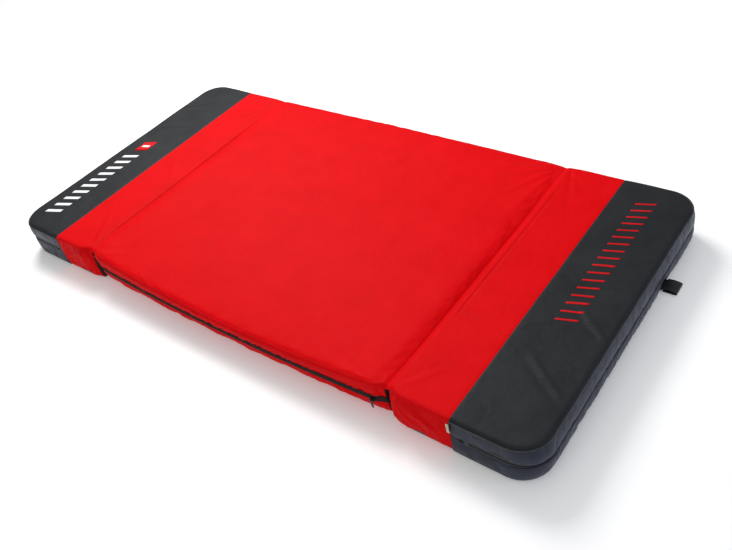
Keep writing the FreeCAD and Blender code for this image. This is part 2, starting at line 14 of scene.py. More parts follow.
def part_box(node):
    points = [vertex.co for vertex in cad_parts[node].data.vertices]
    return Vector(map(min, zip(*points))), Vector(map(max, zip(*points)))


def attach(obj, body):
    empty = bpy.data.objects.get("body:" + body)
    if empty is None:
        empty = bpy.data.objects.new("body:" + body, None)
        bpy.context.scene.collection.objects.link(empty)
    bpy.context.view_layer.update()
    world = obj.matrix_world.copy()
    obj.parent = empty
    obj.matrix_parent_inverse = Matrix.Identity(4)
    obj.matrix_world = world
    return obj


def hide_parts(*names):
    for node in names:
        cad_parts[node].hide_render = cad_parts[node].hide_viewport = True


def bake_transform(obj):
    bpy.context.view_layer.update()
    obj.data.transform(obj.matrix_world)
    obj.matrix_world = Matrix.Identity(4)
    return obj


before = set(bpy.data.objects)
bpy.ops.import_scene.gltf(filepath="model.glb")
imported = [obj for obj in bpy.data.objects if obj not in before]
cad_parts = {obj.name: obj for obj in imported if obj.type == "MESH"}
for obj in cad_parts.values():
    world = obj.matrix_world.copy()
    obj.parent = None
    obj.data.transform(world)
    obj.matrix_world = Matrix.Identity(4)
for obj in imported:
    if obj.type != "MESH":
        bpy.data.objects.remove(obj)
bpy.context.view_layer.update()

# ---- places, from the frame
PANEL_LOW, PANEL_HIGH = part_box("centre_landing_panel")
WING_LOW, WING_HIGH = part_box("right_wing_landing_panel")
CAP_LOW, CAP_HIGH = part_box("right_wing_end_cap_panel")
ZIP_LOW, ZIP_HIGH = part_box("centre_zip_tape")
WING_ZIP_LOW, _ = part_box("right_wing_zip_tape")
HALF = PANEL_HIGH.y  # half the pad's width
TOP = PANEL_HIGH.z
EDGE = PANEL_HIGH.x  # the centre section's end
INNER = WING_LOW.x  # the wing's inner end
JOIN = WING_HIGH.x  # seam between the red fabric and the end cap
END = CAP_HIGH.x
HINGE = (EDGE + INNER) / 2
CORNER = 0.080  # plan radius of the wings' outer corners
TURN = END - CORNER  # where the corner starts, along the pad
MARGIN = 0.10  # strip along each long side whose rows follow the outline
KEEP = HALF - MARGIN  # rows nearer the middle than this stay straight
ZIP_LEVEL = (ZIP_LOW.z + ZIP_HIGH.z) / 2
ZIP_HALF = (ZIP_HIGH.z - ZIP_LOW.z) / 2
ZIP_FROM = WING_ZIP_LOW.x  # where the wing zip starts
ZIP_END = ZIP_HIGH.x
BACK = 0.0004  # zip tape lies this far behind the side wall
FLOOR = 0.0006  # the underside's fabric
BOTTOM = FLOOR + 0.0002  # foot of the side walls
LOWEST = 0.0012  # no cover panel settles lower than this
STRAP_Y = 0.095  # shoulder straps, each side of the middle
CLOSURE_Y = 0.240  # closure straps and loops, each side of the middle
WEB_WIDTH = 0.046  # closure webbing
WEB_THICK = 0.0024

SEAM_DROP = 0.009  # landing surface to top seam
ROLL = 0.013  # how far in from the edge the surface starts to roll over
SHEET = 0.0012  # cover fabric
QUARTER = math.pi / 2
SIDES = (("right_wing", 1), ("left_wing", -1))
FACES = (("front", -1), ("rear", 1))  # the near and the far long side


def middle_of(node):
    """The middle of a node's box at rest."""
    return [(a + b) / 2 for a, b in zip(*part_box(node))]


SLIDER = middle_of("centre_zip_slider")[0]


# ---- small tools
def smooth(a, b, x):
    t = np.clip((np.asarray(x, float) - a) / (b - a), 0, 1)
    return t * t * (3 - 2 * t)


def bumps(x, y, size, seed):
    """Smooth noise from -1 to 1 whose features are about `size` metres across."""
    x, y = np.broadcast_arrays(np.asarray(x, float), np.asarray(y, float))
    flat = [noise.noise((a / size, b / size, seed * 7.31)) for a, b in zip(x.ravel(), y.ravel())]
    return np.array(flat).reshape(x.shape)


def spread(start, end, step):
    count = max(2, int(round(abs(end - start) / step)) + 1)
    return list(np.linspace(start, end, count))


def places(*values):
    """Sorted places with near-duplicates taken out."""
    kept = []
    for v in sorted(float(v) for v in values):
        if not kept or v - kept[-1] > 2e-4:
            kept.append(v)
    return np.array(kept)


def new_piece(name, points, faces, away_from=None):
    """A piece from points and faces, which are turned to look away from the given point."""
    mesh = bpy.data.meshes.new(name)
    mesh.from_pydata([tuple(p) for p in np.reshape(points, (-1, 3))], [], faces)
    mesh.update()
    if away_from is not None:
        centre = Vector(away_from)
        if sum((p.center - centre).dot(p.normal) * p.area for p in mesh.polygons) < 0:
            mesh.flip_normals()
    piece = bpy.data.objects.new(name, mesh)
    bpy.context.scene.collection.objects.link(piece)
    return piece


def quads(rows, cols, close_rows=False, close_cols=False):
    """Faces of a grid of points, which may close on itself either way."""
    faces = []
    for i in range(rows if close_rows else rows - 1):
        n = (i + 1) % rows
        for j in range(cols if close_cols else cols - 1):
            k = (j + 1) % cols
            faces.append((i * cols + j, i * cols + k, n * cols + k, n * cols + j))
    return faces


def end_caps(rows, cols):
    """Faces that close the first and last ring of a tube of quads."""
    return [tuple(range(cols))[::-1], tuple((rows - 1) * cols + j for j in range(cols))]


def grid_piece(name, points, centre):
    """A quad mesh from a (rows, columns, 3) array, facing away from `centre`."""
    return new_piece(name, points, quads(*points.shape[:2]), centre)


def bake(piece):
    """Applies a piece's modifiers to its mesh."""
    bpy.context.view_layer.update()
    graph = bpy.context.evaluated_depsgraph_get()
    mesh = bpy.data.meshes.new_from_object(piece.evaluated_get(graph))
    piece.modifiers.clear()
    piece.data = mesh
    mesh.name = piece.name
    return piece


def soften(piece, angle=42):
    piece.data.polygons.foreach_set("use_smooth", [True] * len(piece.data.polygons))
    piece.data.set_sharp_from_angle(angle=math.radians(angle))


def thicken(piece, thickness):
    """Gives an open grid a thickness, inwards."""
    solid = piece.modifiers.new("thickness", "SOLIDIFY")
    solid.thickness = thickness
    solid.offset = -1
    return bake(piece)


def cloth_panel(piece, thickness=SHEET):
    """Gives an open grid the thickness of the fabric, and soft shading."""
    soften(thicken(piece, thickness))
    return piece


def dress(piece, material, body, slot=None, *stands_for):
    """Material, body and the CAD nodes that a piece stands for. The slot argument is not used."""
    piece.data.materials.clear()
    piece.data.materials.append(material)
    if body:
        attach(piece, body)
    if stands_for:
        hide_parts(*stands_for)
    return piece


def settle(piece, pinned, growth, pressure, cap, frames=16):
    """Lets a panel that is cut a little too large buckle between its sewn edges."""
    group = piece.vertex_groups.new(name="sewn")
    group.add([int(i) for i in pinned], 1.0, "REPLACE")
    cloth = piece.modifiers.new("cloth", "CLOTH")
    fabric = dict(
        quality=7, mass=0.15, tension_stiffness=25, compression_stiffness=25,
        shear_stiffness=12, bending_stiffness=0.15, vertex_group_mass="sewn", shrink_min=-growth,
    )
    for key, value in fabric.items():
        setattr(cloth.settings, key, value)
    cloth.settings.use_pressure = True
    cloth.settings.uniform_pressure_force = pressure
    cloth.settings.effector_weights.gravity = 0
    cloth.collision_settings.use_collision = False
    cloth.point_cache.frame_start = 1
    cloth.point_cache.frame_end = frames
    scene = bpy.context.scene
    for number in range(1, frames + 1):
        scene.frame_set(number)
    graph = bpy.context.evaluated_depsgraph_get()
    found = piece.evaluated_get(graph).data.vertices
    rest = np.array([v.co for v in piece.data.vertices])
    move = np.array([v.co for v in found]) - rest
    length = np.linalg.norm(move, axis=1)[:, None]
    move *= np.minimum(1, cap / np.maximum(length, 1e-9))
    piece.modifiers.clear()
    piece.vertex_groups.clear()
    settled = rest + move
    settled[:, 2] = np.maximum(settled[:, 2], LOWEST)
    piece.data.vertices.foreach_set("co", settled.ravel())
    piece.data.update()
    scene.frame_set(1)


def rim(points):
    """Indices of a grid's outer vertices."""
    rows, cols = points.shape[:2]
    index = np.arange(rows * cols).reshape(rows, cols)
    return np.unique(np.concatenate([index[0], index[-1], index[:, 0], index[:, -1]]))


def sweep(name, path, section, closed=False, up=(0, 0, 1)):
    """A tube with the given section, as (across, up) pairs, along a path."""
    path = np.asarray(path, float)
    ahead = np.roll(path, -1, axis=0) - np.roll(path, 1, axis=0)
    if not closed:
        ahead[0] = path[1] - path[0]
        ahead[-1] = path[-1] - path[-2]
    ahead /= np.linalg.norm(ahead, axis=1)[:, None]
    across = np.cross(ahead, np.asarray(up, float))
    across /= np.linalg.norm(across, axis=1)[:, None]
    above = np.cross(across, ahead)
    rings = np.stack([path + a * across + b * above for a, b in section], axis=1)
    rows, cols = rings.shape[:2]
    faces = quads(rows, cols, closed, True) + ([] if closed else end_caps(rows, cols))
    piece = new_piece(name, rings, faces, (0, 0, 0))
    soften(piece, 60)
    return piece


def round_section(radius, sides=8):
    turns = [2 * math.pi * k / sides for k in range(sides)]
    return [(radius * math.cos(a), radius * math.sin(a)) for a in turns]


def band_section(width, thick):
    """Webbing seen end on: flat, with rounded selvedges."""
    edge = thick / 2
    side = width / 2 - edge
    upper = [(x, edge) for x in np.linspace(side, -side, 9)]
    lower = [(x, -edge) for x in np.linspace(-side, side, 9)]
    return upper + [(-width / 2, 0)] + lower + [(width / 2, 0)]


def along(path, pitch):
    """Evenly spaced points on a polyline, and the directions there."""
    path = np.asarray(path, float)
    length = np.concatenate([[0], np.cumsum(np.linalg.norm(np.diff(path, axis=0), axis=1))])
    count = max(2, int(length[-1] / pitch))
    at = (np.arange(count) + 0.5) * length[-1] / count

    def spots(where):
        return np.stack([np.interp(where, length, path[:, k]) for k in range(3)], axis=1)

    direction = spots(at + 5e-4) - spots(at - 5e-4)
    return spots(at), direction / np.linalg.norm(direction, axis=1)[:, None]


def repeated(name, spots, directions, normals, unit, unit_faces):
    """Copies of one small shape, whose points are (along, across, out), joined in one mesh."""
    across = np.cross(normals, directions)
    unit = np.asarray(unit, float)
    points = (
        spots[:, None]
        + unit[None, :, 0:1] * directions[:, None]
        + unit[None, :, 1:2] * across[:, None]
        + unit[None, :, 2:3] * normals[:, None]
    )
    size = len(unit)
    faces = [tuple(i + k * size for i in f) for k in range(len(spots)) for f in unit_faces]
    piece = new_piece(name, points, faces)
    piece.data.polygons.foreach_set("use_smooth", [True] * len(faces))
    return piece


def bead(length, width, height):
    """A low rounded lump: a six-sided ring at each third, closed by two end points."""
    ring = [(math.cos(a), math.sin(a)) for a in np.linspace(0, 2 * math.pi, 7)[:-1]]
    points = [(-length / 2, 0, 0)]
    for x in (-length * 0.3, length * 0.3):
        points += [(x, width / 2 * 0.9 * c, height * 0.9 * s) for c, s in ring]
    points.append((length / 2, 0, 0))
    faces = []
    for j in range(6):
        k = (j + 1) % 6
        faces.append((0, 1 + k, 1 + j))
        faces.append((1 + j, 1 + k, 7 + k, 7 + j))
        faces.append((13, 7 + j, 7 + k))
    return points, faces


def stitches(name, path, normal, material, body, pitch=0.0045):
    """A row of lockstitch along a path on a surface."""
    spots, directions = along(path, pitch)
    normals = np.broadcast_to(np.asarray(normal, float), spots.shape).copy()
    normals -= (normals * directions).sum(axis=1)[:, None] * directions
    normals /= np.linalg.norm(normals, axis=1)[:, None]
    piece = repeated(name, spots, directions, normals, *bead(pitch * 0.74, 0.0008, 0.0004))
    return dress(piece, material, body)


# ---- materials
def shader(name, **inputs):
    """A material with a Principled shader whose sockets are set directly."""
    material = bpy.data.materials.new(name)
    material.use_nodes = True
    tree = material.node_tree
    bsdf = tree.nodes["Principled BSDF"]
    for socket, value in inputs.items():
        bsdf.inputs[socket.replace("_", " ")].default_value = value
    return material, tree, bsdf, add(tree, "ShaderNodeTexCoord")


def add(tree, kind, **settings):
    node = tree.nodes.new(kind)
    for key, value in settings.items():
        if key in node.inputs:
            node.inputs[key].default_value = value
        else:
            setattr(node, key, value)
    return node


def textured(tree, coords, kind, **settings):
    """A texture that lies still on the piece."""
    node = add(tree, kind, **settings)
    tree.links.new(coords.outputs["Object"], node.inputs["Vector"])
    return node


def wave(tree, coords, direction, pitch):
    """A sine from 0 to 1 along one axis, with the given pitch in metres."""
    scale = 2 * math.pi / (20 * pitch)
    bands = dict(bands_direction=direction, wave_profile="SIN", Scale=scale)
    return textured(tree, coords, "ShaderNodeTexWave", **bands).outputs["Fac"]


def maths(tree, operation, a, b):
    node = add(tree, "ShaderNodeMath", operation=operation)
    for socket, value in zip(node.inputs, (a, b)):
        if isinstance(value, (int, float)):
            socket.default_value = value
        else:
            tree.links.new(value, socket)
    return node.outputs[0]


def bump(tree, height, distance, strength, below=None):
    node = add(tree, "ShaderNodeBump", Distance=distance, Strength=strength)
    tree.links.new(height, node.inputs["Height"])
    if below is not None:
        tree.links.new(below, node.inputs["Normal"])
    return node.outputs["Normal"]


def two_tone(tree, bsdf, coords, dark, light, size):
    """Base colour that drifts between two close tones."""
    cloud = textured(tree, coords, "ShaderNodeTexNoise", Scale=1 / size, Detail=4, Roughness=0.6)
    ramp = add(tree, "ShaderNodeValToRGB")
    for stop, position, tone in zip(ramp.color_ramp.elements, (0.32, 0.68), (dark, light)):
        stop.position = position
        stop.color = (*tone, 1)
    tree.links.new(cloud.outputs["Fac"], ramp.inputs["Fac"])
    tree.links.new(ramp.outputs["Color"], bsdf.inputs["Base Color"])
    return cloud


def coated_nylon(name, dark, light, weave=0.0009, rough=0.45, drape=0.5, **sockets):
    """Coated woven nylon: fine crossing yarns, soft unevenness and a drifting tone."""
    material, tree, bsdf, coords = shader(name, Roughness=rough, **sockets)
    two_tone(tree, bsdf, coords, dark, light, 0.11)
    yarns = maths(tree, "ADD", wave(tree, coords, "X", weave), wave(tree, coords, "Y", weave))
    yarns = maths(tree, "ADD", yarns, wave(tree, coords, "Z", weave))
    woven = bump(tree, yarns, 0.00008, 0.35)
    slow = dict(Scale=24.0, Detail=3.0, Roughness=0.55, Distortion=0.4)
    drift = textured(tree, coords, "ShaderNodeTexNoise", **slow)
    soft = bump(tree, drift.outputs["Fac"], 0.0035, drape, woven)
    tree.links.new(soft, bsdf.inputs["Normal"])
    return material


def ribbed_tape(name, dark, light, pitch, direction, rough=0.6, **sockets):
    """Webbing, binding or zip tape: ribs one way, and yarns across them."""
    material, tree, bsdf, coords = shader(name, Roughness=rough, **sockets)
    two_tone(tree, bsdf, coords, dark, light, 0.02)
    ribs = wave(tree, coords, direction, pitch)
    fine = wave(tree, coords, "DIAGONAL", pitch * 0.6)
    height = maths(tree, "ADD", ribs, maths(tree, "MULTIPLY", fine, 0.6))
    tree.links.new(bump(tree, height, 0.0003, 0.6), bsdf.inputs["Normal"])
    return material


def foam(name, dark, light, cell):
    """Cut foam with open cells of about the given size."""
    material, tree, bsdf, coords = shader(name, Roughness=0.9)
    two_tone(tree, bsdf, coords, dark, light, 0.05)
    cells = textured(tree, coords, "ShaderNodeTexVoronoi", Scale=1 / cell)
    tree.links.new(bump(tree, cells.outputs["Distance"], cell * 0.4, 0.7), bsdf.inputs["Normal"])
    return material


def moulded(name, tone, rough, grain, **sockets):
    """Moulded or cast parts, with a fine grain and slightly uneven gloss."""
    material, tree, bsdf, coords = shader(name, **sockets)
    lighter = tuple(min(1, c * 1.3 + 0.004) for c in tone)
    cloud = two_tone(tree, bsdf, coords, tone, lighter, 0.006)
    gloss = add(tree, "ShaderNodeMapRange")
    gloss.inputs["To Min"].default_value = rough - 0.07
    gloss.inputs["To Max"].default_value = rough + 0.09
    tree.links.new(cloud.outputs["Fac"], gloss.inputs["Value"])
    tree.links.new(gloss.outputs["Result"], bsdf.inputs["Roughness"])
    skin = textured(tree, coords, "ShaderNodeTexNoise", Scale=1 / grain, Detail=2.0)
    tree.links.new(bump(tree, skin.outputs["Fac"], grain * 0.2, 0.4), bsdf.inputs["Normal"])
    return material


def brushed(name, tone):
    """Aluminium brushed along Y."""
    material, tree, bsdf, coords = shader(name, Metallic=1.0, Roughness=0.33)
    two_tone(tree, bsdf, coords, tone, tuple(c * 1.15 for c in tone), 0.01)
    stretch = textured(tree, coords, "ShaderNodeMapping", Scale=(2500, 60, 2500))
    lines = add(tree, "ShaderNodeTexNoise", Scale=1.0, Detail=2.0)
    tree.links.new(stretch.outputs["Vector"], lines.inputs["Vector"])
    tree.links.new(bump(tree, lines.outputs["Fac"], 0.00006, 0.5), bsdf.inputs["Normal"])
    return material


RED = coated_nylon(
    "red_nylon", (0.640, 0.0014, 0.0032), (0.700, 0.0022, 0.0050),
    rough=0.55, Specular_IOR_Level=0.03,
)
CHARCOAL = coated_nylon(
    "charcoal_nylon", (0.0135, 0.0145, 0.0165), (0.0195, 0.0208, 0.0232),
    rough=0.5, Specular_IOR_Level=0.10, Sheen_Weight=0.02, Sheen_Roughness=0.5,
    Sheen_Tint=(0.75, 0.8, 1.0, 1),
)
# The end bands are the cap's charcoal nylon. Their base colour is lighter and bluer than the
# cap's: a painted blue-grey sheen that stands in for the reflection of the bright surroundings.
# The sheen settings and the blue end_fill lamp add real sheen on top.
END_NYLON_PAINTED_SHEEN = coated_nylon(
    "end_band_nylon_painted_sheen", (0.0160, 0.0195, 0.034), (0.0225, 0.0270, 0.045),
    rough=0.42, Specular_IOR_Level=0.18, Sheen_Weight=0.14, Sheen_Roughness=0.35,
    Sheen_Tint=(0.55, 0.63, 1.0, 1),
)
GROUND = coated_nylon(
    "ground_nylon", (0.014, 0.014, 0.016), (0.024, 0.024, 0.027),
    weave=0.0022, rough=0.62, drape=0.3, Specular_IOR_Level=0.3,
)
LINING = coated_nylon(
    "lining_weave", (0.012, 0.012, 0.014), (0.020, 0.020, 0.023), weave=0.0012, rough=0.75,
)
BINDING = ribbed_tape(
    "edge_binding", (0.016, 0.017, 0.021), (0.026, 0.028, 0.034), 0.0014, "Z", rough=0.5,
)
TAPE = ribbed_tape(
    "zip_tape_weave", (0.014, 0.006, 0.006), (0.024, 0.011, 0.011), 0.0011, "Z",
    rough=0.7, Specular_IOR_Level=0.12,
)
DARK_TAPE = ribbed_tape("dark_zip_tape", (0.012, 0.013, 0.017), (0.020, 0.022, 0.028), 0.0011, "Z")
WEBBING = ribbed_tape("closure_webbing", (0.011, 0.011, 0.013), (0.022, 0.022, 0.025), 0.0022, "Y")
HARNESS = coated_nylon("harness_nylon", (0.016, 0.016, 0.018), (0.026, 0.026, 0.030), weave=0.0016)
TAG = ribbed_tape("tag_satin", (0.46, 0.39, 0.28), (0.62, 0.55, 0.43), 0.0012, "Z", rough=0.45)
COIL = moulded("zip_coil_nylon", (0.012, 0.008, 0.008), 0.5, 0.0006, Specular_IOR_Level=0.15)
SLIDER_METAL = moulded("slider_enamel", (0.022, 0.022, 0.024), 0.30, 0.0009, Metallic=0.6)
ACETAL = moulded("moulded_acetal", (0.018, 0.018, 0.020), 0.42, 0.0009)
HOOK_METAL = brushed("brushed_aluminium", (0.58, 0.59, 0.61))
FIRM = foam("firm_foam", (0.075, 0.075, 0.082), (0.11, 0.11, 0.12), 0.0012)
SOFT = foam("soft_foam", (0.52, 0.50, 0.40), (0.66, 0.64, 0.54), 0.0022)
RED_THREAD = moulded("red_thread", (0.44, 0.004, 0.006), 0.5, 0.0004)
DARK_THREAD = moulded("dark_thread", (0.030, 0.031, 0.036), 0.5, 0.0004)
WHITE_PRINT = coated_nylon(
    "white_print", (0.86, 0.87, 0.88), (0.91, 0.92, 0.93), rough=0.5, drape=0.2,
)
RED_PRINT = coated_nylon(
    "red_print", (0.56, 0.003, 0.006), (0.66, 0.005, 0.009),
    rough=0.5, drape=0.2, Specular_IOR_Level=0.08,
)


# ---- the shape of the cover
# Tension folds in the landing surface: from, to (metres), height and half width (millimetres).
# They fan out from the ends of the hinge lines and cross the right end cap.
FOLDS = (
    ((0.585, 0.492), (0.300, 0.415), 3.2, 8),
    ((0.583, 0.485), (0.335, 0.330), 3.0, 9),
    ((0.580, 0.470), (0.430, 0.235), 2.6, 9),
    ((0.584, 0.450), (0.515, 0.130), 1.8, 9),
    ((0.610, 0.480), (0.690, 0.300), -2.4, 8),
    ((0.612, 0.470), (0.740, 0.355), -1.8, 9),
    ((-0.612, 0.490), (-0.760, 0.395), -2.8, 8),
    ((-0.608, 0.480), (-0.745, 0.310), 2.4, 8),
    ((-0.606, 0.460), (-0.720, 0.220), 1.8, 10),
    ((-0.585, 0.490), (-0.535, 0.385), -2.4, 7),
    ((-0.580, 0.480), (-0.480, 0.330), 1.6, 9),
    ((0.584, -0.485), (0.430, -0.330), 1.8, 11),
    ((0.582, -0.488), (0.330, -0.400), 1.6, 10),
    ((0.612, -0.480), (0.735, -0.330), 1.4, 11),
    ((-0.584, -0.485), (-0.400, -0.420), 1.6, 11),
    ((-0.612, -0.470), (-0.730, -0.250), 1.4, 10),
    ((-0.640, -0.100), (-0.760, 0.060), 1.2, 12),
    ((0.985, -0.330), (0.805, -0.215), 4.4, 8),
    ((0.985, -0.245), (0.830, -0.300), -2.4, 8),
    ((0.990, -0.120), (0.860, -0.020), 4.0, 8),
    ((0.985, 0.010), (0.800, -0.060), 4.2, 8),
    ((0.990, 0.075), (0.850, 0.045), -3.0, 8),
    ((0.985, 0.190), (0.830, 0.110), 3.8, 8),
    ((0.795, -0.180), (0.900, -0.110), -2.2, 9),
    ((-0.985, -0.250), (-0.840, -0.190), 1.8, 10),
    ((-0.985, 0.150), (-0.830, 0.220), -3.2, 9),
    ((-0.985, 0.300), (-0.850, 0.350), 3.0, 9),
)


def fold_lines(table, u, v):
    """For each fold: how far along it (0 to 1) and beside it points are, its height and width."""
    for (u0, v0), (u1, v1), height, width in table:
        length = math.hypot(u1 - u0, v1 - v0)
        du, dv = (u1 - u0) / length, (v1 - v0) / length
        t = ((u - u0) * du + (v - v0) * dv) / length
        yield t, -(u - u0) * dv + (v - v0) * du, height, width / 1000


def folds(x, y):
    """Height of all tension folds: each is a ridge beside a shallow trough, fading along it."""
    total = np.zeros(np.broadcast(x, y).shape)
    for t, beside, height, width in fold_lines(FOLDS, x, y):
        bend = 0.006 * np.sin(3.1 * t + height)
        side = (beside + bend) / (width * (0.6 + 0.7 * np.clip(t, 0, 1)))
        fade = smooth(-0.02, 0.12, t) * (1 - smooth(0.25, 1.0, t))
        total += height / 1000 * fade * (np.exp(-side**2) - 0.6 * np.exp(-((side - 1.7) ** 2)))
    return total


def turning(x):
    """0 along the straight sides, rising to 1 at the end of the wings' corners."""
    return np.clip(np.abs(x) - TURN, 0, CORNER) / CORNER


def half_width(x):
    """Half the plan's width at a distance x from the pad's middle, round at the corners."""
    inside = np.clip(np.abs(x) - TURN, 0, CORNER)
    return HALF - CORNER + np.sqrt(np.maximum(CORNER**2 - inside**2, 0))


def edge_distance(x, y):
    """How far inside the plan outline a point lies."""
    qx = np.abs(x) - TURN
    qy = np.abs(y) - (HALF - CORNER)
    outside = np.hypot(np.maximum(qx, 0), np.maximum(qy, 0))
    return CORNER - outside - np.minimum(np.maximum(qx, qy), 0)


def middle(x):
    """1 in the middle of the centre section, 0 at its zip sliders and beyond."""
    return np.clip(1 - (np.asarray(x, float) / SLIDER) ** 2, 0, 1)


def bow(x, y):
    """How far the top seam stands outside the plan: out in mid-length, in at the hinges."""
    x = np.abs(np.asarray(x, float))
    near = np.asarray(y) < 0
    out = 0.016 * middle(x) * np.where(near, 1.0, 0.5)
    pinch = 0.013 * smooth(SLIDER, EDGE, x) * (1 - smooth(INNER, INNER + 0.05, x))
    cap = 0.001 * smooth(JOIN, JOIN + 0.03, x)
    return out - pinch * np.where(near, 1.0, 0.25) + cap


def tuck(x, y):
    """How far the centre section's lower edge is drawn in under it."""
    return np.where(np.asarray(y) < 0, 0.018, 0.008) * (np.abs(x) < HINGE)


def top_height(x, y):
    """The landing surface, before its edges roll over."""
    x = np.asarray(x, float)
    far = np.abs(x)
    across = (np.abs(y) / HALF) ** 3
    rear = smooth(0.1, HALF, y)
    sag = np.clip(1 - (x / EDGE) ** 2, 0, 1) * (0.011 - 0.008 * rear + 0.012 * across * (1 - rear))
    z = TOP - 0.0030 - sag
    z += 0.0012 * bumps(x, y, 0.16, 1) + 0.0005 * bumps(x, y, 0.05, 2)
    z += folds(x, y)
    crease = np.where(x > 0, 1.0, 0.5) * (0.30 + 0.70 * smooth(HALF, 0.15, y))
    crease = crease * (0.6 + 0.4 * smooth(-HALF, -0.3, y))
    steep = np.exp(-(((far - HINGE) / 0.0085) ** 2))
    fall = np.where(far < HINGE, np.exp(-(((HINGE - far) / 0.030) ** 2)), steep)
    z -= crease * (0.0070 * steep + 0.0060 * fall)
    flap = smooth(-0.205, -0.190, y) * smooth(0.385, 0.360, y) * np.where(x > 0, 1.0, 0.5)
    z -= flap * 0.0016 * np.exp(-(((far - HINGE - 0.029) / 0.0026) ** 2))
    z -= 0.0011 * np.exp(-(((far - JOIN) / 0.0028) ** 2))
    return np.minimum(z, TOP - 0.0004)


def surface(x, y):
    """The landing surface with its rolled edges."""
    inside = np.clip(edge_distance(x, y), 0, ROLL) / ROLL
    return top_height(x, y) - SEAM_DROP * (1 - np.sqrt(1 - (1 - inside) ** 2))


def spread_out(x, y):
    """Moves plan points near the edge out to the bowed outline."""
    reach = smooth(KEEP, HALF, np.abs(y))
    cos_corner = np.sqrt(1 - turning(x) ** 2)
    reach = np.where(np.abs(x) > TURN, smooth(0.6, 1.0, np.abs(y) / half_width(x)), reach)
    dy = np.sign(y) * bow(x, y) * reach * cos_corner
    return x + np.sign(x) * 0.001 * turning(x), y + dy


def top_points(xs, ys):
    """Grid of the landing surface. Rows near the edge follow the outline."""
    x, y0 = np.meshgrid(xs, ys, indexing="ij")
    beyond = np.maximum(np.abs(y0) - KEEP, 0) * (half_width(x) - KEEP) / (HALF - KEEP)
    y = np.sign(y0) * (np.minimum(np.abs(y0), KEEP) + beyond)
    return np.stack([*spread_out(x, y), surface(x, y)], axis=-1)


ROLLED = [ROLL * (1 - math.sin(a)) for a in np.linspace(0, QUARTER, 7)]
NEAR_GAP = (0.003, 0.006, 0.010, 0.015)  # close columns beside each hinge gap
ROWS = places(
    *[s * (HALF - d) for s in (-1, 1) for d in ROLLED],
    *spread(-(HALF - ROLL), HALF - ROLL, 0.0085),
)
CENTRE_COLUMNS = places(
    *spread(-EDGE, EDGE, 0.0085), *[s * (EDGE - d) for s in (-1, 1) for d in NEAR_GAP],
)
CREASED = INNER + 0.034  # the flap seam lies before this
RED_COLUMNS = places(
    *spread(EDGE, INNER, 0.002), *spread(INNER, CREASED, 0.0022),
    *spread(CREASED, JOIN - 0.006, 0.007), JOIN - 0.003, JOIN,
)
CAP_COLUMNS = places(
    JOIN, JOIN + 0.003, *spread(JOIN + 0.006, TURN, 0.007),
    *[TURN + CORNER * math.sin(a) for a in np.linspace(0, QUARTER, 17)],
    END - ROLL * 0.5, END - ROLL * 0.25,
)


# ---- landing surface
def above(pieces, points, lift):
    """Puts points on the final top surface, `lift` above it."""
    graph = bpy.context.evaluated_depsgraph_get()
    placed = np.array(points, float)
    down = Vector((0, 0, -1))
    for spot in placed.reshape(-1, 3):
        start = Vector((spot[0], spot[1], 0.3))
        for piece in pieces:
            hit, place, _, _ = piece.evaluated_get(graph).ray_cast(start, down)
            if hit:
                spot[2] = place.z + lift
                break
    return placed


def top_panel(name, columns, side, material, body, slot, *stands_for):
    """One panel of the landing surface."""
    points = top_points(columns, ROWS)
    piece = grid_piece(name, points, (side * 0.8, 0, 0))
    if not side:
        settle(piece, rim(points), 0.005, 0.4, 0.0013)
    return dress(cloth_panel(piece), material, body, slot, *stands_for)


red = (RED, "centre", "landing_fabric", "centre_landing_panel")
tops = {"centre": (top_panel("centre_top", CENTRE_COLUMNS, 0, *red),)}
for wing, side in SIDES:
    red = (RED, None, "landing_fabric", f"{wing}_landing_panel", f"{wing[:-5]}_hinge_fabric")
    red_top = top_panel(f"{wing}_top", side * RED_COLUMNS, side, *red)
    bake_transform(red_top)
    dark = (CHARCOAL, wing, "cap_fabric", f"{wing}_end_cap_panel")
    tops[wing] = (red_top, top_panel(f"{wing}_cap", side * CAP_COLUMNS, side, *dark))


# ---- side walls
class Run:
    """A stretch of the plan outline: places, outward directions and the seam heights there."""

    def __init__(self, plan, normals):
        self.plan = np.asarray(plan, float)
        self.normals = np.asarray(normals, float)
        x, y = self.plan.T
        self.top = top_height(x, y) - SEAM_DROP
        self.base = bow(x, y)
        self.tuck = tuck(x, y)
        self.zip = ZIP_LEVEL - 0.008 * middle(x)
        steps = np.linalg.norm(np.diff(self.plan, axis=0), axis=1)
        self.length = np.concatenate([[0], np.cumsum(steps)])

    def part(self, keep):
        return Run(self.plan[keep], self.normals[keep])

    def at(self, z, out):
        """Points at heights z, moved outwards; the bow fades a little towards the floor."""
        under = np.clip(1 - z / (ZIP_LEVEL + 0.01), 0, 1)
        reach = self.base * (0.7 + 0.3 * np.clip(z / TOP, 0, 1)) - self.tuck * under**1.2 + out
        spots = self.plan + self.normals * np.asarray(reach)[:, None]
        return np.column_stack([spots, np.broadcast_to(z, len(spots))])


def straight_run(xs, y_side):
    xs = np.asarray(xs, float)
    return Run(np.column_stack([xs, np.full(len(xs), y_side * HALF)]), [(0, y_side)] * len(xs))


def end_run(side):
    """Round a wing's end: the near side, a corner, the end, a corner and the far side."""
    half = half_width(CAP_COLUMNS)
    turn = turning(CAP_COLUMNS)
    near = np.column_stack([side * CAP_COLUMNS, -half])
    near_out = np.column_stack([side * turn, -np.sqrt(1 - turn**2)])
    beyond = np.maximum(np.abs(ROWS) - KEEP, 0) * (HALF - CORNER - KEEP) / MARGIN
    across = (np.sign(ROWS) * (np.minimum(np.abs(ROWS), KEEP) + beyond))[1:-1]
    end = np.column_stack([np.full(len(across), side * END), across])
    end_out = np.tile([side, 0.0], (len(across), 1))
    plan = np.vstack([near, end, near[::-1] * (1, -1)])
    return Run(plan, np.vstack([near_out, end_out, near_out[::-1] * (1, -1)]))


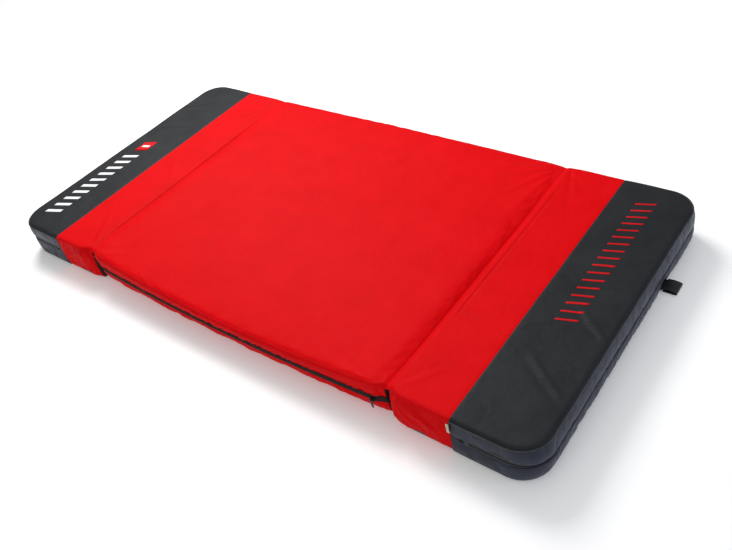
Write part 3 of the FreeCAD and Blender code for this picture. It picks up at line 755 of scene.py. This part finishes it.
# Diagonal drag folds down the wings' long sides: from, to (along, height), height, half width.
WALL_FOLDS = (
    ((0.606, 0.112), (0.705, 0.018), 4.6, 8),
    ((0.604, 0.098), (0.655, 0.010), 4.2, 7),
    ((0.612, 0.116), (0.765, 0.050), 3.4, 8),
    ((0.604, 0.075), (0.625, 0.008), 2.6, 6),
)


def wall_folds(x, z):
    total = np.zeros(np.broadcast(x, z).shape)
    for t, beside, height, width in fold_lines(WALL_FOLDS, np.abs(x), z):
        fade = smooth(0, 0.15, t) * (1 - smooth(0.5, 1.1, t))
        total += height / 1000 * fade * np.exp(-((beside / width) ** 2))
    return total


def strip(name, run, high, low, bulge, rows, seed, pucker, foot, proud=0.0, dip=0.0022, held=0.0):
    """A side panel between two heights. It bulges, puckers a little, and may turn under.
    The edge at the zip stands `proud` of the outline, and the edges lie `dip` inside the faces.
    Webbing sewn to the foot keeps the face in by `held`."""
    high = np.broadcast_to(high, len(run.plan))
    low = np.broadcast_to(low, len(run.plan))
    grid = []
    for t in 0.5 - 0.5 * np.cos(np.linspace(0, math.pi, rows)):
        z = high + (low - high) * t
        swell = math.sin(math.pi * t) ** 0.6
        out = bulge * swell - dip * (1 - swell)
        out = out + proud * math.sin(QUARTER * (1 - t if foot else t))
        crumple = bumps(run.length, z * 1.6, 0.026, seed)
        crumple = crumple + 0.6 * bumps(run.length, z, 0.011, seed + 1)
        out = out + pucker * crumple * math.sin(math.pi * t) ** 0.5
        if foot:
            out = out - 0.005 * smooth(0.86, 1.0, t) - held * smooth(0.10, 0.45, t)
        grid.append(run.at(z, out))
    grid = np.array(grid)
    x, _, z = np.moveaxis(grid, -1, 0)
    if name.endswith("side"):
        grid[..., 1] += np.sign(grid[..., 1]) * wall_folds(x, z)
    return grid_piece(name, grid, (float(np.mean(x)) * 0.9, 0, 0.05)), grid


def wall_panel(name, run, high, low, shape, settling, finish):
    """A side panel that is cut a little too large, settled, and given its thickness."""
    piece, grid = strip(name, run, high, low, *shape)
    settle(piece, rim(grid), *settling)
    dress(cloth_panel(piece), *finish)


def tape_strip(name, run, material, body, node, proud=0.0):
    """The sunk zip tape that shows between two panels."""
    grid = [run.at(run.zip + ZIP_HALF * 1.45 * k, proud - BACK) for k in np.linspace(1, -1, 5)]
    grid = np.array(grid)
    piece = grid_piece(name, grid, (float(grid[..., 0].mean()) * 0.9, 0, 0.05))
    cloth_panel(piece, 0.0008)
    return dress(piece, material, body, "zip_tape", node)


def coil_strip(name, run, body, node, proud=0.0):
    """The closed zip's coil: a tooth every 2.6 mm, standing just proud of its tape."""
    spots, directions = along(run.at(run.zip, proud - BACK), 0.0026)
    nearest = [int(np.argmin(np.linalg.norm(run.plan - s[:2], axis=1))) for s in spots]
    normals = np.column_stack([run.normals[nearest], np.zeros(len(nearest))])
    teeth = repeated(name, spots, directions, normals, *bead(0.0022, 0.0060, 0.0014))
    return dress(teeth, COIL, body, "zip_coil", node)


# Each panel: bulge, rows, seed, pucker, foot; then growth, pressure and cap for settling.
SLIT = ZIP_HALF * 1.25  # half the opening over the centre's zip
front, rear = (straight_run(CENTRE_COLUMNS, y_side) for _, y_side in FACES)
finish = (RED, "centre", "side_fabric", "centre_front_band")
wall_panel(
    "centre_front_upper", front, front.top, front.zip + SLIT,
    (0.0022, 15, 11, 0.0018, False), (0.030, 0.5, 0.0026), finish,
)
wall_panel(
    "centre_front_lower", front, front.zip - SLIT, BOTTOM,
    (0.0035, 15, 13, 0.0010, True), (0.025, 0.5, 0.0030), finish,
)
wall_panel(
    "centre_rear_wall", rear, rear.top, BOTTOM,
    (0.0070, 25, 15, 0.0014, True), (0.030, 0.7, 0.005),
    (RED, "centre", "side_fabric", "centre_rear_band"),
)
tape_strip("centre_zip_tape_woven", front, TAPE, "centre", "centre_zip_tape")
on_zip = front.part(np.abs(front.plan[:, 0]) <= ZIP_END + 0.002)
coil_strip("centre_zip_teeth", on_zip, "centre", "centre_zip_coil")

wing_columns = RED_COLUMNS[RED_COLUMNS >= INNER - 1e-6]
for wing, side in SIDES:
    for place, y_side in FACES:
        run = straight_run(side * wing_columns, y_side)
        free = smooth(JOIN, JOIN - 0.03, wing_columns)
        free = free * smooth(INNER - 0.004, INNER + 0.02, wing_columns)
        wall_panel(
            f"{wing}_{place}_side", run, run.top, BOTTOM,
            (0.0015 + 0.0048 * free, 25, 21 + y_side + 4 * side, 0.0010, True),
            (0.025, 0.6, 0.004), (RED, wing, "side_fabric", f"{wing}_side_bands"),
        )

    run = end_run(side)
    far = np.abs(run.plan[:, 0])
    started = smooth(JOIN + 0.010, ZIP_FROM + 0.004, far)
    on_end = smooth(TURN, END - 0.006, far)
    bulge = 0.0018 + 0.0006 * started
    slit = ZIP_HALF * started * (1 - 0.60 * on_end)
    proud = 0.0068 * on_end
    near_loop = np.exp(-(((run.plan[:, 1] - middle_of("closure_loop_rear")[1]) / 0.045) ** 2))
    held = 0.0052 * near_loop * on_end * (side > 0)
    finish = (END_NYLON_PAINTED_SHEEN, wing, "cap_fabric", f"{wing}_end_band")
    wall_panel(
        f"{wing}_end_upper", run, run.top, run.zip + slit,
        (bulge, 13, 31 + side, 0.0004, False, proud, 0.0009), (0.008, 0.5, 0.002), finish,
    )
    wall_panel(
        f"{wing}_end_lower", run, run.zip - slit, BOTTOM,
        (bulge, 15, 35 + side, 0.0004, True, proud, 0.0009, held), (0.008, 0.5, 0.002), finish,
    )
    sunk = np.maximum(proud - 0.0012, 0)
    taped, on_zip = far >= ZIP_FROM - 0.012, far >= ZIP_FROM
    tape = (DARK_TAPE, wing, f"{wing}_zip_tape")
    tape_strip(f"{wing}_zip_tape_woven", run.part(taped), *tape, sunk[taped])
    coil_strip(f"{wing}_zip_teeth", run.part(on_zip), wing, f"{wing}_zip_coil", sunk[on_zip])
    foot = np.full(len(far), 0.0034)
    for place, level, out in (("top", run.top + 0.0004, 0.0006), ("bottom", foot, -0.0032)):
        tube = sweep(f"{wing}_{place}_binding", run.at(level, out), round_section(0.0017))
        dress(tube, BINDING, wing, "binding_tape", f"{wing}_bindings")


# ---- walls inside the hinge gaps
def gap_wall(name, body, x, side, node):
    """The dark end wall of a section. It swells slightly into the gap."""
    line = np.full(len(ROWS), x)
    grid = []
    for t in np.linspace(0, 1, 12):
        under = np.clip(1 - t / 0.6, 0, 1) ** 1.2
        reach = HALF + bow(line, ROWS) * (0.7 + 0.3 * t) - tuck(x, ROWS) * under
        reach = reach - 0.0060 * smooth(0.14, 0.0, t) - 0.0015
        z = BOTTOM + (surface(line, ROWS) - 0.0025 - BOTTOM) * t
        y = ROWS / HALF * reach
        swell = 0.0022 * math.sin(math.pi * t) * (1 - (np.abs(y) / HALF) ** 6)
        grid.append(np.column_stack([line + side * swell, y, z]))
    piece = grid_piece(name, np.array(grid), (x - side * 0.1, 0, 0.05))
    cloth_panel(piece, 0.0010)
    dress(piece, LINING, body, "gap_lining", node)


for wing, side in SIDES:
    gap_wall(f"{wing}_gap_lining", wing, side * INNER, -side, f"{wing}_gap_wall")
    gap_wall(f"centre_gap_lining_{wing}", "centre", side * EDGE, side, "centre_gap_walls")


# ---- underside and foam
RIM = 0.006  # room round a stowed piece


def trays_of(section):
    """Dishes that hold the stowed webbing and harness: x and y range and depth."""
    if section == "centre":
        x = (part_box("shoulder_straps")[0].x - RIM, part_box("shoulder_webbing")[1].x + RIM)
        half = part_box("shoulder_straps")[1].y - STRAP_Y + RIM
        dishes = [(x, (s * STRAP_Y - half, s * STRAP_Y + half), 0.0145) for s in (-1, 1)]
        low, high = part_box("hip_belt_rear_half")
        return dishes + [((low.x - RIM, high.x + RIM), (-0.350, 0.350), 0.0145)]
    if section == "right_wing":
        low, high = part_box("closure_loop_front")
        return [((END - 0.060, END - 0.010), (low.y - RIM, high.y + RIM), 0.0125)]
    x = (-(END - 0.010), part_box("closure_hook_front")[1].x + 0.010)
    return [(x, (s * CLOSURE_Y - 0.029, s * CLOSURE_Y + 0.029), 0.0125) for s in (-1, 1)]


def underside(x, y, trays):
    """Height of the ground panel over its trays."""
    z = FLOOR + 0.0006 * (1 + bumps(x, y, 0.09, 41)) * smooth(HALF, HALF - 0.05, np.abs(y))
    for (x0, x1), (y0, y1), depth in trays:
        inside = np.minimum(np.minimum(x - x0, x1 - x), np.minimum(y - y0, y1 - y))
        z = z + (depth - z) * smooth(0.0, 0.0045, inside)
    return z


def lines_at(start, end, step, edges):
    """Grid lines: even ones, and close ones at the trays' edges."""
    fine = [e + d for e in edges for d in (-0.0045, -0.003, -0.0015, 0, 0.0015, 0.003, 0.0045)]
    even = [v for v in spread(start, end, step) if all(abs(v - f) > 0.002 for f in fine)]
    return places(start, end, *even, *[f for f in fine if start < f < end])


SECTIONS = (("centre", -EDGE, EDGE), ("right_wing", INNER, END), ("left_wing", -END, -INNER))
for section, start, end in SECTIONS:
    trays = trays_of(section)
    xs = lines_at(start, end, 0.014, [v for t in trays for v in t[0]])
    if section != "centre":
        way = -1 if start < 0 else 1
        corner = [way * (TURN + CORNER * math.sin(a)) for a in np.linspace(0, QUARTER, 13)]
        near = [v for v in xs if abs(v) < TURN - 0.002]
        far = [v for v in xs if abs(v) > TURN and min(abs(v - c) for c in corner) > 0.0015]
        xs = places(*near, *corner, *far)
    ys = lines_at(-HALF, HALF, 0.014, [v for t in trays for v in t[1]])
    x, y0 = np.meshgrid(xs, ys, indexing="ij")
    edge = half_width(x) + bow(x, y0) * 0.7 - tuck(x, y0) - 0.0062
    beyond = (np.abs(y0) - KEEP) * (edge - KEEP) / (HALF - KEEP)
    y = np.where(np.abs(y0) <= KEEP, y0, np.sign(y0) * (KEEP + beyond))
    px = x - np.sign(x) * 0.0050 * turning(x)
    grid = np.stack([px, y, underside(px, y, trays)], axis=-1)
    panel = grid_piece(f"{section}_underside", grid, ((start + end) / 2, 0, 5.0))
    cloth_panel(panel, 0.0010)
    dress(panel, GROUND, section, "ground_fabric", f"{section}_ground_panel")


def slab(name, xs, ys, low, high, drawn_in):
    """A foam block between two height functions, with the plan's rounded corners."""
    x, y0 = np.meshgrid(xs, ys, indexing="ij")
    reach = half_width(x) - 0.006 + np.minimum(bow(x, y0), 0) * 0.8 - tuck(x, y0) * drawn_in
    y = y0 / HALF * reach
    rows, cols = x.shape
    points = [np.stack([x, y, level(x, y)], axis=-1) for level in (high, low)]
    index = np.arange(rows * cols).reshape(rows, cols)
    count = rows * cols
    top = quads(rows, cols)
    faces = [face[::-1] for face in top] + [tuple(count + v for v in face) for face in top]
    loop = [*index[:, 0], *index[-1, 1:], *index[-2::-1, -1], *index[0, -2:0:-1]]
    loop = [int(v) for v in loop]
    faces += [(b, a, count + a, count + b) for a, b in zip(loop, loop[1:] + loop[:1])]
    piece = new_piece(name, points, faces, ((xs[0] + xs[-1]) / 2, 0, 0))
    soften(piece, 50)
    return piece


SHEET_FOAM = 0.020  # the firm sheet on top
BASE_TOP = 0.0215  # top of the firm sheet below
APART = 0.0002  # between two foam layers


def skin(x, y):
    """The foam's top, under the landing fabric and lower beside the hinges."""
    near_hinge = np.exp(-(((np.abs(x) - HINGE) / 0.045) ** 2))
    edge = 0.010 * (edge_distance(x, y) < 0.004)
    cover = surface(x, np.clip(y, -HALF + 0.001, HALF - 0.001))
    return cover - 0.0060 - 0.0080 * near_hinge - edge


def level_at(height):
    return lambda x, y: x * 0 + height


def below_skin(depth):
    return lambda x, y: skin(x, y) - depth


for section, start, end in SECTIONS:
    trays = trays_of(section)
    xs = lines_at(start + 0.004, end - 0.004, 0.024, [v for t in trays for v in t[0]])
    ys = lines_at(-HALF, HALF, 0.024, [v for t in trays for v in t[1]])

    def over_panel(x, y):
        return underside(x, y, trays) + 0.0016

    layers = (
        ("base_foam", over_panel, level_at(BASE_TOP), FIRM, "firm_foam", "foam_base_sheet", 1.0),
        ("core_foam", level_at(BASE_TOP + APART), below_skin(SHEET_FOAM),
         SOFT, "soft_foam", "foam_core", 0.35),
        ("top_foam", below_skin(SHEET_FOAM - APART), skin,
         FIRM, "firm_foam", "foam_top_sheet", 0.35),
    )
    for name, low, high, material, foam_slot, node, drawn_in in layers:
        block = slab(f"{section}_{name}", xs, ys, low, high, drawn_in)
        dress(block, material, section, foam_slot, f"{section}_{node}")


# ---- webbing, loops and harness
def upright(thick):
    """Closure webbing whose width lies along the sweep's up direction."""
    return [(a, u) for u, a in band_section(WEB_WIDTH, thick)]


def flat_band(name, path, y, body, node, thick=WEB_THICK):
    """Closure webbing along a path of (x, z) places."""
    band = sweep(name, [(v, y, z) for v, z in path], upright(thick), up=(0, 1, 0))
    return dress(band, WEBBING, body, "closure_webbing", node)


def webbing_loop(name, root, tip, body, node, arch=0.0):
    """A flat loop of doubled webbing from its root to its rounded tip."""
    _, y, level = middle_of(node)
    reach = 0.0040
    way = 1 if tip > root else -1
    bend = tip - way * reach
    turns = np.linspace(QUARTER, -QUARTER, 9)
    turn = [(bend + way * reach * math.cos(a), level + reach * math.sin(a)) for a in turns]
    length = abs(bend - root)
    out = spread(root, bend, 0.004)
    flat = [(v, level + reach + arch * math.sin(math.pi * abs(v - root) / length)) for v in out]
    path = flat[:-1] + turn + [(v, level - reach) for v in out[-2::-1]]
    return flat_band(name, path, y, body, node)


low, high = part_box("closure_loop_rear")
webbing_loop(
    "rear_closure_loop", low.x + 0.0003, high.x - 0.0013, "rear_loop", "closure_loop_rear", 0.0022,
)
low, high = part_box("closure_loop_front")
webbing_loop(
    "front_closure_loop", high.x - 0.0003, low.x + 0.0013, "front_loop", "closure_loop_front",
)


def closure_strap(place):
    """Webbing from under the wing's end, round the hook's bar and sewn back on itself."""
    node = f"closure_strap_{place}"
    low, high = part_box(node)
    y = middle_of(node)[1]
    run = low.z + 0.0016
    sewn = run - 0.0011
    wrap = 0.0030
    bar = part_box(f"closure_hook_{place}")[0].z + 0.0015
    bar_x = high.x - 0.0043
    turns = np.linspace(-QUARTER, QUARTER, 9)
    turn = [(bar_x + wrap * math.cos(a), bar + wrap * math.sin(a)) for a in turns]
    back = ((0.008, 0.0074), (0.016, 0.0057), (0.024, 0.0049), (0.058, 0.0049))
    profile = [(v, run) for v in spread(low.x + 0.0003, bar_x - 0.004, 0.02)] + turn
    profile += [(bar_x - v, z) for v, z in back]
    name, body = f"{place}_closure_strap", f"{place}_strap"
    flat_band(name, profile, y, body, node)
    ends = ((bar_x - 0.056, bar_x - 0.030), (low.x + 0.004, low.x + 0.030))
    for i, (x0, x1) in enumerate(ends):
        box = ((x0, -1), (x1, -1), (x1, 1), (x0, 1), (x0, -1), (x1, 1))
        under = np.array([(x, y + k * 0.018, sewn) for x, k in box])
        stitches(f"{name}_box_stitch_{i}", under, (0, 0, -1), DARK_THREAD, body)


closure_strap("front")
closure_strap("rear")


def cushion(name, body, x, y, z, square, material, slot, node, fill=0.7):
    """A crowned pad, thick in the middle, whose faces meet at a seam round its edge."""
    turns = np.linspace(0, 2 * math.pi, 73)[:-1]
    levels = [math.sin(a) for a in np.linspace(0, QUARTER, 15)]
    half = Vector([(b - a) / 2 for a, b in (x, y, z)])
    centre = np.array([(a + b) / 2 for a, b in (x, y, z)])
    rings = []
    for upper, order in ((1, levels[1:]), (-1, levels[-2:0:-1])):
        for r in order:
            rise = upper * max(0.0, 1 - r ** 5) ** 0.5 * half.z
            ring = []
            for c, s in ((math.cos(a), math.sin(a)) for a in turns):
                reach = r * (abs(c) ** square + abs(s) ** square) ** (-1 / square)
                ring.append((reach * c * half.x, reach * s * half.y, rise))
            rings.append(ring)
    rings = np.array(rings)
    size = rings.shape[:2]
    piece = new_piece(name, rings + centre, quads(*size, False, True) + end_caps(*size), centre)
    soften(piece, 50)
    dress(piece, material, body, slot, node)
    seam = rings[len(levels) - 2] * (0.985, 0.97, 1) + centre
    dress(sweep(f"{name}_binding", seam, round_section(0.0016), closed=True), BINDING, body)


def either_side(half):
    """The two ranges across the pad of what lies on both shoulder straps."""
    return enumerate([(s * STRAP_Y - half, s * STRAP_Y + half) for s in (-1, 1)])


HARNESS_PAD = (7, HARNESS, "harness_fabric")
SEWN_PATCH = (9, WEBBING, "harness_webbing", "harness_sewn_patches", 1.0)
low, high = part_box("shoulder_straps")
web_low, web_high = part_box("shoulder_webbing")
web_level = middle_of("shoulder_webbing")[2]
for i, y in either_side(0.0345):
    x, z = (low.x + 0.001, high.x - 0.001), (low.z, high.z - 0.0002)
    cushion(f"shoulder_pad_{i}", "centre", x, y, z, *HARNESS_PAD, "shoulder_straps")
    path = [(v, (y[0] + y[1]) / 2, web_level) for v in spread(web_low.x, web_high.x, 0.02)]
    band = sweep(f"shoulder_webbing_{i}", path, band_section(0.025, 0.0019))
    dress(band, WEBBING, "centre", "harness_webbing", "shoulder_webbing")
for place, _ in FACES:
    belt = f"hip_belt_{place}_half"
    (x0, y0, z0), (x1, y1, z1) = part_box(belt)
    size = ((x0, x1), (y0, y1), (z0, z1 - 0.0002))
    cushion(f"hip_belt_{place}", f"{place}_belt", *size, *HARNESS_PAD, belt)

for name, x, half, z in (
    ("patch_strap_root", (low.x, low.x + 0.040), 0.025, (0.0122, 0.0147)),
    ("patch_web_end", (web_high.x - 0.030, web_high.x), 0.0125, (0.0042, 0.0147)),
):
    for i, y in either_side(half):
        cushion(f"{name}_{i}", "centre", x, y, z, *SEWN_PATCH)
low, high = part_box("hip_belt_rear_half")
patch = ((low.x, high.x), (-0.0216, 0.0216), (0.0042, 0.0147))
cushion("patch_belt_root", "centre", *patch, *SEWN_PATCH)

low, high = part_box("closure_strap_tails")
strap_tail = ((low.x - 0.0015, 0.0030), (low.x + 0.0010, 0.0024), (high.x, 0.00225))
for (place, s), x in zip(FACES, ((0.9863, 0.9905), (0.9985, 1.0046))):
    y = s * CLOSURE_Y
    flat_band(f"strap_tail_{place}", strap_tail, y, "left_wing", "closure_strap_tails")
    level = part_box(f"closure_loop_{place}")[0].z + 0.0053
    tail = [(v, level) for v in spread(*x, 0.002)]
    flat_band(f"loop_tail_{place}", tail, y, "right_wing", "closure_loop_tails", 0.0049)


# ---- printed marks, tag and stitching
MARK_LIFT = 0.0005  # a mark's face, above the cap


def slanted_bar(name, wing, x, y, length, width, slant, material, lift=MARK_LIFT):
    """A printed bar on an end cap: its sides lean by `slant`."""
    u, v = np.meshgrid(np.linspace(-0.5, 0.5, 13), np.linspace(-0.5, 0.5, 5), indexing="ij")
    points = np.stack([x + u * length, y + v * width + u * slant, np.zeros_like(u)], axis=-1)
    piece = grid_piece(name, above(tops[wing], points, lift), (x, y, 0))
    thicken(piece, 0.00025)
    polygons = piece.data.polygons
    polygons.foreach_set("use_smooth", [True] * len(polygons))
    dress(piece, material, wing)


for i, y in enumerate(spread(-0.405, -0.045, 0.040)):
    slanted_bar(f"white_mark_{i}", "left_wing", -0.918, y, 0.060, 0.015, 0.024, WHITE_PRINT)
slanted_bar("red_mark", "left_wing", -0.913, 0.030, 0.050, 0.060, 0.020, RED_PRINT)
inner_bar = (0.030, 0.012, 0.010, WHITE_PRINT, MARK_LIFT + 0.0004)
slanted_bar("red_mark_bar", "left_wing", -0.913, 0.030, *inner_bar)
for i, y in enumerate(spread(-0.100, 0.405, 0.0315)):
    slanted_bar(f"red_bar_{i}", "right_wing", 0.878, y, 0.054, 0.0065, 0.018, RED_PRINT)

low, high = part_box("woven_tag")
xs, zs = spread(low.x, high.x, 0.0016), spread(high.z - 0.004, low.z, 0.004)
grid = np.array([[(x, 0, z) for x in xs] for z in zs])
grid[..., 1] = -HALF - 0.0052 - 0.0016 * np.sin((grid[..., 2] - low.z) * 60)
tag = grid_piece("seam_tag", grid, (0.78, 0, 0.1))
cloth_panel(tag, 0.0006)
dress(tag, TAG, "right_wing", "tag_fabric", "woven_tag")


EDGE_INSET = 0.0062  # the edge stitching, in from the seam
SEWN = 0.006  # spacing of the places a row of stitches goes through


def top_stitches(name, part, xs, ys, thread):
    """A row of stitches that follows the landing surface of a wing or the centre."""
    points = np.stack(np.broadcast_arrays(xs, ys, 0.0), axis=-1)
    path = above(tops[part], points, 0.0002)
    stitches(name, path, (0, 0, 1), thread, part)


for place, y_side in FACES:
    for part, side, start, end in (
        ("centre", 1, -EDGE + 0.004, EDGE - 0.004),
        *[(wing, side, INNER + 0.004, JOIN - 0.002) for wing, side in SIDES],
    ):
        x = side * np.array(spread(start, end, SEWN))
        y = y_side * (HALF - EDGE_INSET + bow(x, y_side))
        top_stitches(f"{part}_{place}_edge_stitch", part, x, y, RED_THREAD)

for wing, side in SIDES:
    ys = spread(-HALF + 0.012, HALF - 0.012, SEWN)
    top_stitches(f"{wing}_join_stitch", wing, side * (JOIN + 0.0035), ys, DARK_THREAD)
    ys = spread(0.370, -0.190, SEWN)
    xs = [side * (HINGE + 0.0335)] * len(ys)
    if side > 0:  # the flap seam's short return
        xs += spread(HINGE + 0.0395, HINGE + 0.0875, SEWN)
        ys += [-0.190] * (len(xs) - len(ys))
    top_stitches(f"{wing}_crease_stitch", wing, xs, ys, RED_THREAD)

# ---- CAD parts that stay
SLIDERS = [f"{place}_zip_slider" for place in ("centre", "right_wing", "left_wing")]
KEPT = (
    (SLIDER_METAL, SLIDERS + [f"{slider}_pull" for slider in SLIDERS]),
    (HOOK_METAL, ("closure_hook_front", "closure_hook_rear")),
    (ACETAL, ("shoulder_ladder_locks", "belt_buckle_socket", "belt_buckle_prongs")),
)
for material, names in KEPT:
    for name in names:
        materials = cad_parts[name].data.materials
        materials.clear()
        materials.append(material)

# ---- floor, light and camera
REACH = 30  # the floor's half side
corners = [(-REACH, -REACH, 0), (REACH, -REACH, 0), (REACH, REACH, 0), (-REACH, REACH, 0)]
floor = new_piece("floor", corners, [(0, 1, 2, 3)])
glow = dict(Emission_Color=(1, 1, 1, 1), Emission_Strength=0.20)
pale, tree, bsdf, coords = shader("pale_floor", Roughness=0.9, **glow)
two_tone(tree, bsdf, coords, (0.86, 0.86, 0.86), (0.88, 0.88, 0.88), 0.7)
floor.data.materials.append(pale)


def area_light(name, place, target, size, power, colour):
    light = bpy.data.lights.new(name, "AREA")
    light.shape = "SQUARE"
    light.size = size
    light.energy = power
    light.color = colour
    lamp = bpy.data.objects.new(name, light)
    lamp.location = place
    lamp.rotation_euler = (Vector(target) - Vector(place)).to_track_quat("-Z", "Y").to_euler()
    bpy.context.scene.collection.objects.link(lamp)


area_light("overhead", (0.2, 0.2, 3.6), (0, 0, 0), 4.0, 42, (1.0, 1.0, 1.0))
area_light("key", (-2.1, 1.4, 3.0), (0, 0, 0), 1.5, 134, (1.0, 0.99, 0.98))
area_light("end_fill", (3.4, 0.4, 1.1), (1.0, 0, 0.05), 1.6, 20, (0.74, 0.82, 1.0))
area_light("near_fill", (0.2, -3.2, 1.2), (0, -0.5, 0.05), 1.6, 12, (1.0, 1.0, 1.0))

scene = bpy.context.scene
world = bpy.data.worlds.new("studio")
world.use_nodes = True
sky = world.node_tree.nodes["Background"].inputs
sky["Color"].default_value = (1, 1, 1, 1)
sky["Strength"].default_value = 0.26
scene.world = world
scene.view_settings.view_transform = "Standard"

AZIMUTH, ELEVATION, TILT = (math.radians(a) for a in (45.41, 41.26, -13.45))
level = math.cos(ELEVATION)
back = Vector((math.sin(AZIMUTH) * level, -math.cos(AZIMUTH) * level, math.sin(ELEVATION)))
flat_x = Vector((0, 0, 1)).cross(back).normalized()
flat_y = back.cross(flat_x)
across = flat_x * math.cos(TILT) + flat_y * math.sin(TILT)
upward = flat_y * math.cos(TILT) - flat_x * math.sin(TILT)
lens = bpy.data.cameras.new("camera")
lens.lens = 37.32
lens.sensor_width = 36
camera = bpy.data.objects.new("camera", lens)
turned = [[across[i], upward[i], back[i]] for i in range(3)]
place = Vector((0.211, -0.086, 0)) + back * 2.333
camera.matrix_world = Matrix([[*turned[i], place[i]] for i in range(3)] + [[0, 0, 0, 1]])
scene.collection.objects.link(camera)
scene.camera = camera
